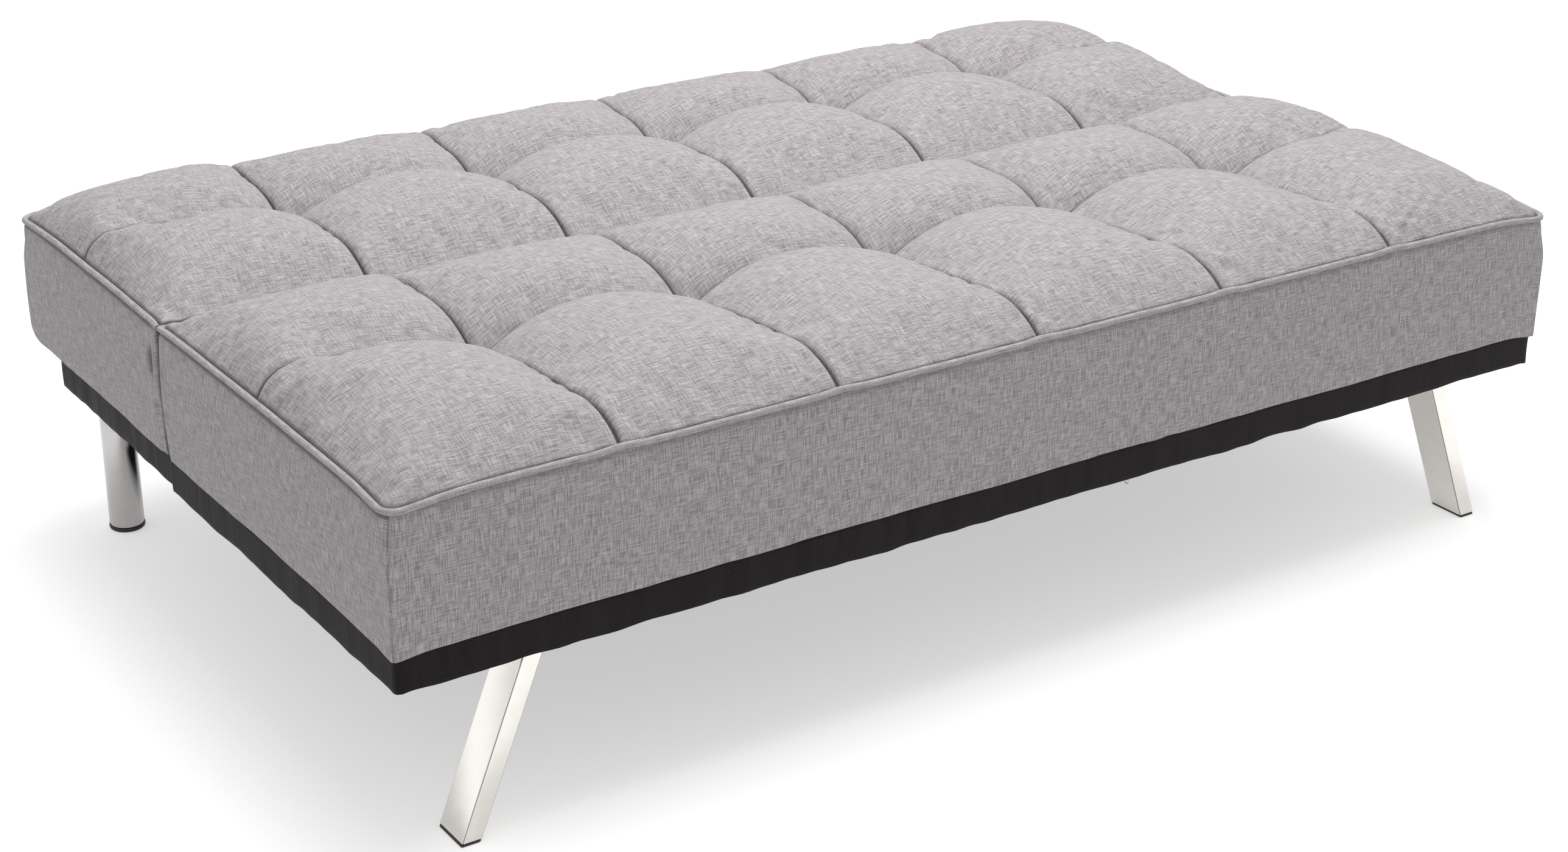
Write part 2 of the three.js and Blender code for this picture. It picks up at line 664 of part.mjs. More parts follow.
// Sinuous springs between two cross tubes, tied together by two stay wires
function springs(fromY, toY, z, waves) {
  const all = [];
  const outerX = coreHalf - tubeWidth - springFromTube;
  for (let s = 0; s < springCount; s += 1) {
    const x = mix(-outerX, outerX, s / (springCount - 1));
    const points = [[x, fromY, z]];
    for (let i = 0; i <= waves * waveStepCount; i += 1) {
      const share = i / (waves * waveStepCount);
      const y = mix(fromY + springTail, toY - springTail, share);
      points.push([x + waveReach * Math.sin(2 * Math.PI * waves * share), y, z]);
    }
    points.push([x, toY, z]);
    all.push(wireAlong(points, wireDiameter, 4));
  }
  for (const share of stayWireShares) {
    const y = mix(fromY, toY, share);
    const end = outerX + waveReach;
    all.push(bar([-end, y, z], [end, y, z], stayWireDiameter, 6));
  }
  return joined(all);
}

// Bolts that hold a hinge foot to a side tube
function hingeBoltPlaces(fromY, footZ) {
  const z = footZ + footRise + footHeight / 2;
  return footBoltShares.map((share) => [fromY + footLength * share, z]);
}
function hingeBoltHoles(side, places) {
  return places.map(([y, z]) =>
    bar([side * (armInnerX - overrun), y, z], [side * (plateOuterX + tubeWidth / 2), y, z], boltHole));
}
function hingeBolts(side, places, faceX) {
  const endX = plateOuterX + tubeWidth * boltBiteShare;
  return places.flatMap(([y, z]) => [
    bar([side * (faceX - boltHeadHeight), y, z], [side * (faceX + fit), y, z], boltHeadDiameter, 6),
    bar([side * faceX, y, z], [side * endX, y, z], boltDiameter, 10),
  ]);
}

const seatTubeTop = cushionFootZ + tubeHeight;
const backTubeFoot = cushionFootZ + sideThickness + fit;
const backTubeTop = backTubeFoot + tubeHeight;
const seatFootY = foldY - seatFootBack - footLength;
const backFootY = foldY + backFootFront;
const seatBoltPlaces = hingeBoltPlaces(seatFootY, cushionFootZ);
const backBoltPlaces = hingeBoltPlaces(backFootY, backTubeFoot);
const bothSides = (make) => sides.flatMap(([side]) => make(side));

// Seat: steel frame on the base, springs, pad, foam, side panel and piping
function addSeat() {
  const [footZ, topZ] = [cushionFootZ, seatTubeTop];
  const frontInner = frameFrontY + tubeWidth;
  const crossTube = (half, fromY, toY) => boxTube([-half, fromY, footZ], [half, toY, topZ], 'X');
  piece('seat_front_tube', crossTube(coreHalf, frameFrontY, frontInner), frameSteel);
  const rearTubeEnd = seatEndY - innerTubeSetback;
  const rearTubeStart = rearTubeEnd - tubeWidth;
  piece('seat_rear_tube', crossTube(crossHalf, rearTubeStart, rearTubeEnd), frameSteel);
  for (const [side, label] of sides) {
    const [low, high] = span(side, coreHalf - tubeWidth, coreHalf);
    const tube = boxTube([low, frontInner + fit, footZ], [high, seatEndY, topZ], 'Y');
    piece(`seat_side_tube_${label}`, cut(tube, hingeBoltHoles(side, seatBoltPlaces)), frameSteel);
  }
  const springZ = topZ - springDrop;
  piece('seat_springs', springs(frontInner + fit, rearTubeStart - fit, springZ, seatWaves), springSteel);
  const padFoot = topZ + fit;
  const slots = bothSides((side) => [hingeSlot(side, seatFootY, foldY + overrun)]);
  const pad = block([-coreHalf, frameFrontY, padFoot], [coreHalf, seatEndY, padFoot + padThickness]);
  piece('seat_deck_pad', cut(pad, slots), foamPad);
  const foam = tuftedTop(seamsX, seatSeams, 2, padFoot + padThickness + fit);
  piece('seat_cushion', cut(foam, [groove, ...slots]), greyLinen);
  const outer = edgePath(seatEdge, sideInset, sideThickness);
  const inner = edgePath(seatEdge, sideInner, 0);
  const wall = raised([...outer, ...inner.reverse()], cushionFootZ, sideTopZ);
  piece('seat_side_panel', cut(wall, [groove]), greyLinen);
  const line = edgePath(seatEdge, pipingDiameter / 2, pipingCorner).map(([x, y]) => [x, y, pipingZ]);
  piece('seat_piping', cut(wireAlong(line, pipingDiameter, 8), [groove]), greyPiping);
}

// Back: the same build as the seat, closed below by a panel, its far lower edge tucked round
function addBack() {
  const [footZ, topZ] = [backTubeFoot, backTubeTop];
  const frontTubeStart = backStartY + innerTubeSetback;
  const frontTubeEnd = frontTubeStart + tubeWidth;
  const frontTube = boxTube([-crossHalf, frontTubeStart, footZ], [crossHalf, frontTubeEnd, topZ], 'X');
  piece('back_front_tube', frontTube, frameSteel);
  const rearTubeEnd = rearY - rearTubeFromEdge;
  const rearTubeStart = rearTubeEnd - tubeWidth;
  const rearTubeFoot = footZ + tuckRadius * tuckClearShare;
  const rearTube = boxTube([-coreHalf, rearTubeStart, rearTubeFoot], [coreHalf, rearTubeEnd, topZ], 'X');
  piece('back_rear_tube', rearTube, frameSteel);
  for (const [side, label] of sides) {
    const [low, high] = span(side, coreHalf - tubeWidth, coreHalf);
    const tube = boxTube([low, backStartY, footZ], [high, rearTubeStart - fit, topZ], 'Y');
    piece(`back_side_tube_${label}`, cut(tube, hingeBoltHoles(side, backBoltPlaces)), frameSteel);
  }
  const springZ = topZ - springDrop;
  piece('back_springs', springs(frontTubeEnd + fit, rearTubeStart - fit, springZ, backWaves), springSteel);
  const padFoot = topZ + fit;
  const padEndY = rearY - coreInset - sideDraw - waistDraw;
  const slots = bothSides((side) => [hingeSlot(side, foldY - overrun, backFootY + footLength / 2)]);
  const pad = block([-coreHalf, backStartY, padFoot], [coreHalf, padEndY, padFoot + padThickness]);
  piece('back_deck_pad', cut(pad, slots), foamPad);
  const foam = tuftedTop(seamsX, backSeams, 0, padFoot + padThickness + fit);
  piece('back_cushion', cut(foam, [groove, ...slots]), greyLinen);
  const sidePanel = cut(backPanelShape(0, 0), [backPanelShape(sideThickness, overrun), groove]);
  piece('back_side_panel', sidePanel, greyLinen);
  const line = edgePath(backEdge, pipingDiameter / 2, pipingCorner).map(([x, y]) => [x, y, pipingZ]);
  piece('back_piping', cut(wireAlong(line, pipingDiameter, 8), [groove]), greyPiping);
  const panelEndY = rearY - sideInset - tuckRadius - fit;
  const panelTop = cushionFootZ + sideThickness;
  const panel = block([-coreHalf, backStartY, cushionFootZ], [coreHalf, panelEndY, panelTop]);
  piece('back_underside_panel', panel, greyLinen);
}

// The back's plan, with its far lower edge rounded. Drawn in by the panel's thickness, and running past
// the panel above, below and at the fold, it is the room inside the panel.
function backPanelShape(thickness, past) {
  const corner = thickness > 0 ? 0 : sideThickness;
  const [low, high] = [cushionFootZ - past, sideTopZ + past];
  const plan = raised(edgePath(backEdge, sideInset + thickness, corner).reverse(), low, high);
  const inner = halfLength - sideInset - thickness;
  const foldEnd = block([-inner, foldY - past, low], [inner, backStartY + past, high]);
  const radius = tuckRadius - thickness;
  const centreY = rearY - sideInset - tuckRadius;
  const centreZ = cushionFootZ + tuckRadius;
  const points = [[foldY - overrun, low]];
  if (past > 0) points.push([centreY, low]);
  for (let i = 0; i <= tuckStepCount; i += 1) {
    const angle = Math.PI / 2 * (i / tuckStepCount - 1);
    points.push([centreY + radius * Math.cos(angle), centreZ + radius * Math.sin(angle)]);
  }
  points.push([centreY + radius, sideTopZ + overrun], [foldY - overrun, sideTopZ + overrun]);
  const tucked = upright(points, -halfLength - overrun, halfLength + overrun);
  return common(past > 0 ? joined([plan, foldEnd]) : plan, tucked);
}

// Hinges: a plate on the seat frame, an arm with a toothed quadrant on the back frame
function addHinges() {
  const rad = THREE.MathUtils.degToRad;
  const polar = (radius, degrees) => {
    const angle = rad(degrees);
    return [foldY + radius * Math.cos(angle), pivotZ + radius * Math.sin(angle)];
  };
  const pivot = [foldY, pivotZ];
  const tipOrbit = quadrantRadius + pawlRunning + pawlTipDiameter / 2;
  const tip = polar(tipOrbit, pawlAngle);
  const pawlPivot = [
    tip[0] - pawlLength * Math.sin(rad(pawlAngle)), tip[1] + pawlLength * Math.cos(rad(pawlAngle)),
  ];
  const footOutline = (y, z) => {
    const [endY, topZ] = [y + footLength, z + footHeight];
    return [[y, z], [endY, z], [endY, topZ], [y, topZ]];
  };
  const seatFootZ = cushionFootZ + footRise;
  const backFootZ = backTubeFoot + footRise;
  const seatRoot = [seatFootY + footLength * seatRootShare, seatFootZ + footHeight / 2];
  const backRoot = [backFootY + footLength * backRootShare, backFootZ + footHeight / 2];

  const quadrant = [pivot];
  const edgeCount = toothCount * 2;
  for (let i = 0; i <= edgeCount; i += 1) {
    const angle = mix(quadrantStart, quadrantEnd, i / edgeCount);
    quadrant.push(polar(quadrantRadius, angle));
    if (i % 2 === 1) quadrant.push(polar(quadrantRadius - toothDepth, angle));
  }

  for (const [side, label] of sides) {
    const along = ([y, z], fromX, toX, diameter, sideCount = 24) =>
      bar([side * fromX, y, z], [side * toX, y, z], diameter, sideCount);
    const [holeFrom, holeTo] = [armInnerX - overrun, plateOuterX + overrun];
    const pinHole = along(pivot, holeFrom, holeTo, pivotDiameter + 2 * fit);
    const pawlHole = along(pawlPivot, holeFrom, holeTo, pawlPinDiameter + 2 * fit, 20);
    const [plateLow, plateHigh] = span(side, plateInnerX, plateOuterX);
    const plate = joined([
      upright(footOutline(seatFootY, seatFootZ), plateLow, plateHigh),
      upright(roundEnded(seatRoot, pivot, armWidth, eyeDiameter), plateLow, plateHigh),
      upright(roundEnded(seatRoot, pawlPivot, armWidth, pawlBoss), plateLow, plateHigh),
      ...hingeBolts(side, seatBoltPlaces, plateInnerX),
    ]);
    piece(`hinge_seat_plate_${label}`, cut(plate, [pinHole, pawlHole]), zincSteel);

    const [armLow, armHigh] = span(side, armInnerX, armOuterX);
    const [footLow, footHigh] = span(side, armInnerX, plateOuterX);
    const arm = joined([
      upright(footOutline(backFootY, backFootZ), footLow, footHigh),
      upright(roundEnded(backRoot, pivot, armWidth, eyeDiameter), armLow, armHigh),
      upright(quadrant, armLow, armHigh),
      ...hingeBolts(side, backBoltPlaces, armInnerX),
    ]);
    piece(`hinge_back_arm_${label}`, cut(arm, [pinHole]), zincSteel);

    const pawl = upright(roundEnded(pawlPivot, tip, pawlBoss, pawlTipDiameter), armLow, armHigh);
    piece(`hinge_pawl_${label}`, cut(pawl, [pawlHole]), zincSteel);

    const farHeadX = plateOuterX + fit;
    const pin = (at, diameter, headDiameter, headX) => joined([
      along(at, headX - pivotHeadHeight, headX, headDiameter),
      along(at, headX - pivotHeadHeight / 2, farHeadX + pivotHeadHeight / 2, diameter),
      along(at, farHeadX, farHeadX + pivotHeadHeight, headDiameter),
    ]);
    const pivotPin = pin(pivot, pivotDiameter, pivotHeadDiameter, armInnerX - fit);
    piece(`hinge_pivot_pin_${label}`, pivotPin, zincSteel);
    const pawlPin = pin(pawlPivot, pawlPinDiameter, pawlPinHead, pawlHeadX);
    piece(`hinge_pawl_pin_${label}`, pawlPin, zincSteel);

    const coil = [];
    const coilRadius = pawlPinDiameter / 2 + 2 * fit + pawlSpringWire / 2;
    const [coilY, coilZ] = pawlPivot;
    for (let i = 0; i <= pawlSpringTurns * turnStepCount; i += 1) {
      const turn = i / turnStepCount;
      const angle = 2 * Math.PI * turn;
      const x = armInnerX - fit - pawlSpringWire / 2 - pawlSpringPitch * turn;
      coil.push([side * x, coilY + coilRadius * Math.cos(angle), coilZ + coilRadius * Math.sin(angle)]);
    }
    piece(`hinge_pawl_spring_${label}`, outward(wireAlong(coil, pawlSpringWire, 5)), springSteel);
  }
}

// Zip in the dust cover: tape, slider with a bail, and a ring pull that hangs on the bail
function addZip() {
  const y = frontY + zipFromFront;
  const tapeTop = floorToBase - fit;
  const tapeFoot = tapeTop - zipTapeThickness;
  const half = zipTapeWidth / 2;
  const tape = block([zipReach - zipLength, y - half, tapeFoot], [zipReach, y + half, tapeTop]);
  piece('zip_tape', tape, blackCloth);
  const sliderX = zipReach - sliderSetback;
  const sliderTop = tapeFoot - fit;
  const sliderFoot = sliderTop - sliderHeight;
  const bailFoot = sliderFoot - bailHeight;
  const [bodyX, bodyY] = [sliderLength / 2, sliderWidth / 2];
  const body = block([-bodyX, -bodyY, sliderFoot], [bodyX, bodyY, sliderTop]);
  const [bailX, bailY] = [bailSpan / 2, bailWire / 2];
  const post = (side) => {
    const [low, high] = span(side, bailX - bailWire, bailX);
    return block([low, -bailY, bailFoot], [high, bailY, sliderFoot + bailWire]);
  };
  const rung = block([-bailX, -bailY, bailFoot], [bailX, bailY, bailFoot + bailWire]);
  piece('zip_slider', joined([body, post(-1), post(1), rung]), zincSteel, sliderX, y);
  const hangZ = bailFoot + bailWire + fit + pullWire / 2;
  const ring = new THREE.TorusGeometry(pullRadius, pullWire / 2, 6, 18).rotateY(Math.PI / 2);
  piece('zip_pull', outward(ring), zincSteel, sliderX, y, hangZ - pullRadius);
}

addBase();
addFrontLegs();
addRearLegs();
addSeat();
addBack();
addHinges();
addZip();

export default sofa;
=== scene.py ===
# %% [markdown]
# # Dressing a click clack sofa bed
# The engineering model gives every tube, rail, hinge and block its real size and place. It shows the
# cloth and the padding only as plain solids. In this lesson each soft piece is made again as sewn fabric
# over foam, the shiny legs get their rounded edges, and every surface gets a finish. Loading the packed
# model first means that all of it shares one frame: metres, Z up, the floor at Z = 0, X along the sofa
# and Y from the front of the seat to the far edge of the back.

import json
import math

import bmesh
import bpy
import numpy as np
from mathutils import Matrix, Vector, noise

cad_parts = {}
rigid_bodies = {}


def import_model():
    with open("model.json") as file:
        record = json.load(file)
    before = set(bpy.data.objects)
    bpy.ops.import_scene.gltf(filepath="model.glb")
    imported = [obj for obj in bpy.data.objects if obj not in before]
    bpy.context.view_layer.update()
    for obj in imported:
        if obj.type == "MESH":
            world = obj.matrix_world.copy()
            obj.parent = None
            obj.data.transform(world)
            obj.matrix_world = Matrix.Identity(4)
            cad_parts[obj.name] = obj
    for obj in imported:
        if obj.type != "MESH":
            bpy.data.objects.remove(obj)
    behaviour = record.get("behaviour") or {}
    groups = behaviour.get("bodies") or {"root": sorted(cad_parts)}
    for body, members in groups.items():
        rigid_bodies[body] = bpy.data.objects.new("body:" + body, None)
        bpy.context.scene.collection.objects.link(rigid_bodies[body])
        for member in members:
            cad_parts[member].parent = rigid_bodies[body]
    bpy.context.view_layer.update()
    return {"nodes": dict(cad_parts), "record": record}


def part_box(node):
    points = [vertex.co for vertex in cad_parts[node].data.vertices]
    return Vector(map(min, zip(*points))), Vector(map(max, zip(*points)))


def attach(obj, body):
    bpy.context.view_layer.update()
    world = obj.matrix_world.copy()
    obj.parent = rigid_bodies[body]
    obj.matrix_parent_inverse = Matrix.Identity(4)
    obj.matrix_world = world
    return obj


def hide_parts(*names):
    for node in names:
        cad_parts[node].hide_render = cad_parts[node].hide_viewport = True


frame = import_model()

# %% [markdown]
# ## The sizes that the soft pieces share
# The sofa lies flat as one long bed, 1.70 m by 1.09 m. The seat ends and the back starts at the fold.
# Sewn seams divide the top into six tufts along the sofa and two rows on the seat and on the back. These
# values repeat those of the engineering model, so that each cover fits its own frame and foam.

# %% Shared sizes
HALF_LENGTH = 0.850
FRONT_Y, FOLD_Y, REAR_Y = -0.545, 0.065, 0.545
FOLD_GAP = 0.0016
BASE_FOOT_Z, BASE_TOP_Z = 0.214, 0.257
WELT_Z = 0.426
WELT_RADIUS = 0.00425
FOAM_FOOT_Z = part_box("seat_cushion")[0].z
COVER_FOOT_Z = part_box("seat_side_panel")[0].z
CORE_INSET = 0.0088
COLUMN_SEAMS = np.linspace(-(HALF_LENGTH - CORE_INSET), HALF_LENGTH - CORE_INSET, 7)
COLUMN_SEAMS[1:-1] = np.linspace(-0.56667, 0.56667, 5)
SEAT_ROWS = np.array([FRONT_Y + CORE_INSET, -0.205, FOLD_Y - FOLD_GAP / 2])
BACK_ROWS = np.array([FOLD_Y + FOLD_GAP / 2, 0.327, REAR_Y - CORE_INSET])
print("fold at", FOLD_Y, "foam stands on", round(FOAM_FOOT_Z, 4), "covers on", round(COVER_FOOT_Z, 4))

# %% [markdown]
# ## Helpers that the whole lesson uses
# Cloth has few sharp changes: it bulges, dips and fades. Most forms below are sums of one smooth hump, of
# one slow wander that never repeats, and of lengths measured along a row of points.

# %% Humps, wander and lengths
SIDES = ((-1, "left"), (1, "right"))


def hump(distance, width, power=2):
    """1 at no distance, fading to 0 past the width. A higher power makes its edge sharper."""
    return np.exp(-(distance / width) ** power)


def swing(place, size, seed=0.0):
    """Smooth noise between about -1 and 1 at a place, the same on every run."""
    x, y = place
    return noise.noise(Vector((x / size, y / size, seed)))


def steps_along(points, axis=0):
    """Distances from each point of a row to the next."""
    return np.linalg.norm(np.diff(points, axis=axis), axis=-1)


def run_along(steps):
    """Length run at every point, from the steps between them."""
    return np.concatenate([[0], np.cumsum(steps)])


def to_scene(name, data):
    """A new object with this data, linked to the scene."""
    made = bpy.data.objects.new(name, data)
    bpy.context.scene.collection.objects.link(made)
    return made


def modelled(thing):
    """The mesh of an object after its modifiers, as a plain mesh."""
    return bpy.data.meshes.new_from_object(thing.evaluated_get(bpy.context.evaluated_depsgraph_get()))


print("a hump falls to", round(float(hump(1, 1)), 3), "at its width")

# %% [markdown]
# ## Camera
# The photograph looks down over the near left corner of the bed, at about 24 degrees, with both front
# legs and the left rear leg in view. Matching its corners, seams and feet gives one place, turn and lens
# for the camera.

# %% Camera
camera_data = bpy.data.cameras.new("photo view")
camera_data.lens = 62.8
camera_data.sensor_width = 36
camera = to_scene("photo view", camera_data)
camera.location = (-1.891, -2.837, 1.599)
camera.rotation_euler = [math.radians(a) for a in (66.56, -0.21, -33.54)]
bpy.context.scene.camera = camera
bpy.context.scene.view_settings.view_transform = "Standard"
print("camera at", tuple(camera.location))

# %% [markdown]
# ## Writing node trees as sums
# Shaders and Geometry Nodes are both graphs of nodes and links. Writing them by hand takes many lines, so
# a small class wraps one output socket and lets Python's own operators add the Math nodes. `1 - mask`
# works as well as `mask * 2`, because each operator has its reflected form. One method, `node`, makes any
# other node: its type, its settings, and then the values or links of its sockets.

# %% A socket that can be used in sums
class Wire:
    def __init__(self, graph, socket):
        self.graph, self.socket = graph, socket

    def _sum(self, operation, first, second):
        return self.graph.node(self.graph.math, {"operation": operation}, {0: first, 1: second})

    def __add__(self, other): return self._sum("ADD", self, other)
    def __radd__(self, other): return self._sum("ADD", other, self)
    def __sub__(self, other): return self._sum("SUBTRACT", self, other)
    def __rsub__(self, other): return self._sum("SUBTRACT", other, self)
    def __mul__(self, other): return self._sum("MULTIPLY", self, other)
    def __rmul__(self, other): return self._sum("MULTIPLY", other, self)
    def __truediv__(self, other): return self._sum("DIVIDE", self, other)
    def __rtruediv__(self, other): return self._sum("DIVIDE", other, self)
    def __pow__(self, other): return self._sum("POWER", self, other)


class Graph:
    math = "ShaderNodeMath"

    def __init__(self, tree):
        self.tree = tree
        tree.nodes.clear()

    def node(self, kind, settings=None, sockets=None, out=0):
        made = self.tree.nodes.new(kind)
        for name, value in (settings or {}).items():
            if name == "stops":
                ramp = made.color_ramp
                while len(ramp.elements) < len(value):
                    ramp.elements.new(1)
                for element, (place, colour) in zip(ramp.elements, value):
                    element.position, element.color = place, (*colour, 1)
            else:
                setattr(made, name, value)
        for name, value in (sockets or {}).items():
            target = made.inputs[name]
            if isinstance(value, Wire):
                self.tree.links.new(value.socket, target)
            else:
                target.default_value = value
        return Wire(self, made.outputs[out]) if len(made.outputs) else made


# %% [markdown]
# ## Patterns and the shader
# A finish is a material with one Principled shader. The methods here are the few patterns that all the
# finishes of this sofa use: noise that can be stretched into threads, a colour mixed by a mask, and a
# bump.

# %% A finish and its patterns
class Finish(Graph):
    def __init__(self, name):
        self.material = bpy.data.materials.new(name)
        self.material.use_nodes = True
        super().__init__(self.material.node_tree)
        self.place = self.node("ShaderNodeTexCoord", out="Object")

    def weave(self):
        return self.node("ShaderNodeUVMap", {"uv_map": "weave"})

    def stretched(self, place, x, y, z=1):
        return self.node("ShaderNodeVectorMath", {"operation": "MULTIPLY"}, {0: place, 1: (x, y, z)})

    def speckle(self, place, scale=1, detail=2, roughness=0.55, dimensions="3D"):
        return self.node("ShaderNodeTexNoise", {"noise_dimensions": dimensions},
                         {"Vector": place, "Scale": scale, "Detail": detail, "Roughness": roughness})

    def mixed(self, share, first, second):
        colours = [c if isinstance(c, Wire) else (*c, 1) for c in (first, second)]
        return self.node("ShaderNodeMix", {"data_type": "RGBA"},
                         {0: share, 6: colours[0], 7: colours[1]}, out=2)

    def between(self, value, low, high, to_low=0, to_high=1):
        return self.node("ShaderNodeMapRange", {"clamp": True},
                         {0: value, 1: low, 2: high, 3: to_low, 4: to_high})

    # The shade that a mesh carries, from 0 to 1, painted into the colour.
    def crease(self):
        return self.node("ShaderNodeAttribute", {"attribute_name": "crease"}, out="Fac")

    def bumped(self, height, distance, strength=1):
        return self.node("ShaderNodeBump", None,
                         {"Height": height, "Distance": distance, "Strength": strength})

    def done(self, **sockets):
        names = {"colour": "Base Color", "roughness": "Roughness", "metallic": "Metallic",
                 "normal": "Normal", "sheen": "Sheen Weight", "sheen_roughness": "Sheen Roughness",
                 "coat": "Coat Weight", "specular": "Specular IOR Level"}
        values = {names[k]: ((*v, 1) if isinstance(v, tuple) else v) for k, v in sockets.items()}
        shader = self.node("ShaderNodeBsdfPrincipled", None, values)
        self.node("ShaderNodeOutputMaterial", None, {"Surface": shader})
        return self.material


def linear(*levels):
    """A colour as a picture shows it, in levels of 0 to 255, turned into the light that it reflects."""
    return tuple(((v / 255 + 0.055) / 1.055) ** 2.4 if v > 10 else v / 255 / 12.92 for v in levels)


# %% [markdown]
# ## Grey linen-look cloth
# The cover is a coarse plain weave of grey threads. Each thread varies along its length: pale slubs and
# dark stretches a few centimetres long, less than a millimetre wide, run both ways and cross. Two
# stretched noises make the warp and the weft, and their sum picks the colour and raises the bump. The
# noise follows the piece's own UV map, laid out in metres, so that the threads bend with the cloth. Shade
# is painted into the colour where the cloth dips into a seam, so each mesh carries a painted shade value
# from 0 to 1.

# %% Linen
def linen(name, dark, middle, light):
    f = Finish(name)
    place = f.weave()
    threads = 0.5
    for along, across, weight in ((54, 800, 1.35), (800, 54, 1.05), (32, 820, 0.52), (820, 32, 0.44)):
        run = f.speckle(f.stretched(place, along, across), detail=2, roughness=0.6, dimensions="2D")
        threads = (run - 0.5) * weight + threads
    colour = f.node("ShaderNodeValToRGB", {"stops": [(0.2, dark), (0.5, middle), (0.8, light)]},
                    {"Fac": threads})
    # Painted shade: where the mesh's shade value is high, the colour turns to a dim copy of the dark
    # threads.
    shade = f.between(f.crease(), 0, 1, 0, 0.84)
    colour = f.mixed(shade, colour, tuple(0.16 * c for c in dark))
    over, under = [f.node("ShaderNodeTexWave", {"bands_direction": way},
                          {"Vector": place, "Scale": 190, "Distortion": 1.2}) for way in "XY"]
    height = threads * 0.9 + over * under * 0.5
    return f.done(colour=colour, roughness=0.95, sheen=0.18, sheen_roughness=0.45,
                  normal=f.bumped(height, 0.0005, 0.25))


grey_linen = linen("grey linen", linear(144, 138, 140), linear(174, 169, 171), linear(201, 196, 197))
welt_linen = linen("welt linen", linear(148, 142, 144), linear(177, 172, 173), linear(202, 197, 198))
print("linen finishes:", grey_linen.name, welt_linen.name)

# %% [markdown]
# ## Black cloth, and the cloth under the base
# The base is wrapped in a thin black cloth with a slight shine, creased where it was pulled tight. The
# underside is closed with a felted black cloth that hardly shines at all.

# %% Black cloths
def black_cloth():
    f = Finish("black satin cloth")
    place = f.weave()
    creases = f.speckle(f.stretched(place, 34, 5), detail=3, dimensions="2D")
    threads = f.speckle(f.stretched(place, 1600, 500), detail=1, dimensions="2D")
    lint = f.between(f.speckle(f.stretched(place, 260, 260), detail=1, dimensions="2D"), 0.7, 0.8)
    # The colour is lighter on the high side of the crease noise: painted sheen along the creases.
    colour = f.mixed(f.between(creases, 0.3, 0.7), linear(23, 19, 21), linear(40, 36, 38))
    colour = f.mixed(lint * 0.25, colour, linear(78, 72, 74))
    # Painted shade: darker where the mesh's shade value is high.
    colour = f.mixed(f.between(f.crease(), 0, 1, 0, 0.7), colour, linear(8, 7, 8))
    return f.done(colour=colour, roughness=f.between(creases, 0.3, 0.7, 0.55, 0.68), specular=0.12,
                  normal=f.bumped(creases + threads * 0.04, 0.004, 0.35))


def felted_cloth(name, dark, light):
    f = Finish(name)
    fibres = f.speckle(f.stretched(f.place, 420, 420, 420), detail=4, roughness=0.7)
    dimples = f.node("ShaderNodeTexVoronoi", {"feature": "F1"}, {"Vector": f.place, "Scale": 520})
    colour = f.mixed(f.between(fibres, 0.35, 0.65), dark, light)
    return f.done(colour=colour, roughness=0.96, sheen=0.1,
                  normal=f.bumped(fibres + dimples * 0.6, 0.0006, 0.6))


black_satin = black_cloth()
under_cloth = felted_cloth("black underside cloth", linear(26, 25, 26), linear(44, 42, 43))
felt = felted_cloth("grey felt wadding", linear(176, 172, 164), linear(214, 210, 202))
print("black and felted cloths ready")

# %% [markdown]
# ## Hard materials
# The legs and their plates are polished and chromed. Real chrome is not one even mirror: it carries a
# faint haze of fine marks. The hidden frame is powder-coated steel, the springs are bare drawn wire, the
# hinges are zinc plated and the rails are raw pine. Each of these reads Object coordinates, so it stays
# put.

# %% Metals, wood and plastic
def chromed(name, low, high, roughness):
    f = Finish(name)
    edge_reflection_line = f.crease()
    haze = f.speckle(f.place, scale=38, detail=4, roughness=0.6)
    fine = f.speckle(f.stretched(f.place, 900, 900, 60), detail=2)
    colour = f.mixed(haze, low, high)
    # Painted reflection: along the tube's rounded edges the colour turns towards a dark grey line.
    return f.done(colour=f.mixed(edge_reflection_line * 0.8, colour, linear(96, 93, 92)), metallic=1.0,
                  roughness=f.between(haze + fine * 0.3, 0.45, 0.85, roughness, roughness + 0.08),
                  normal=f.bumped(haze, 0.0006, 0.06))


def coated(name, colour, worn, roughness, metal):
    f = Finish(name)
    orange_peel = f.speckle(f.place, scale=600, detail=2)
    scuffs = f.between(f.speckle(f.place, scale=26, detail=6, roughness=0.7), 0.6, 0.72)
    return f.done(colour=f.mixed(scuffs * 0.5, colour, worn), metallic=metal,
                  roughness=f.between(orange_peel, 0.3, 0.7, roughness, roughness + 0.12),
                  normal=f.bumped(orange_peel, 0.0003, 0.4))


def pine_wood():
    f = Finish("raw pine")
    rings = f.node("ShaderNodeTexWave", {"bands_direction": "Z", "wave_profile": "SAW"},
                   {"Vector": f.place, "Scale": 55, "Distortion": 5, "Detail": 3, "Detail Scale": 1.4})
    pores = f.speckle(f.stretched(f.place, 60, 60, 900), detail=3)
    colour = f.mixed(rings, linear(222, 190, 143), linear(193, 150, 98))
    colour = f.mixed(f.between(pores, 0.6, 0.75, 0, 0.4), colour, linear(140, 98, 60))
    return f.done(colour=colour, roughness=0.78, normal=f.bumped(rings + pores, 0.0004, 0.5))


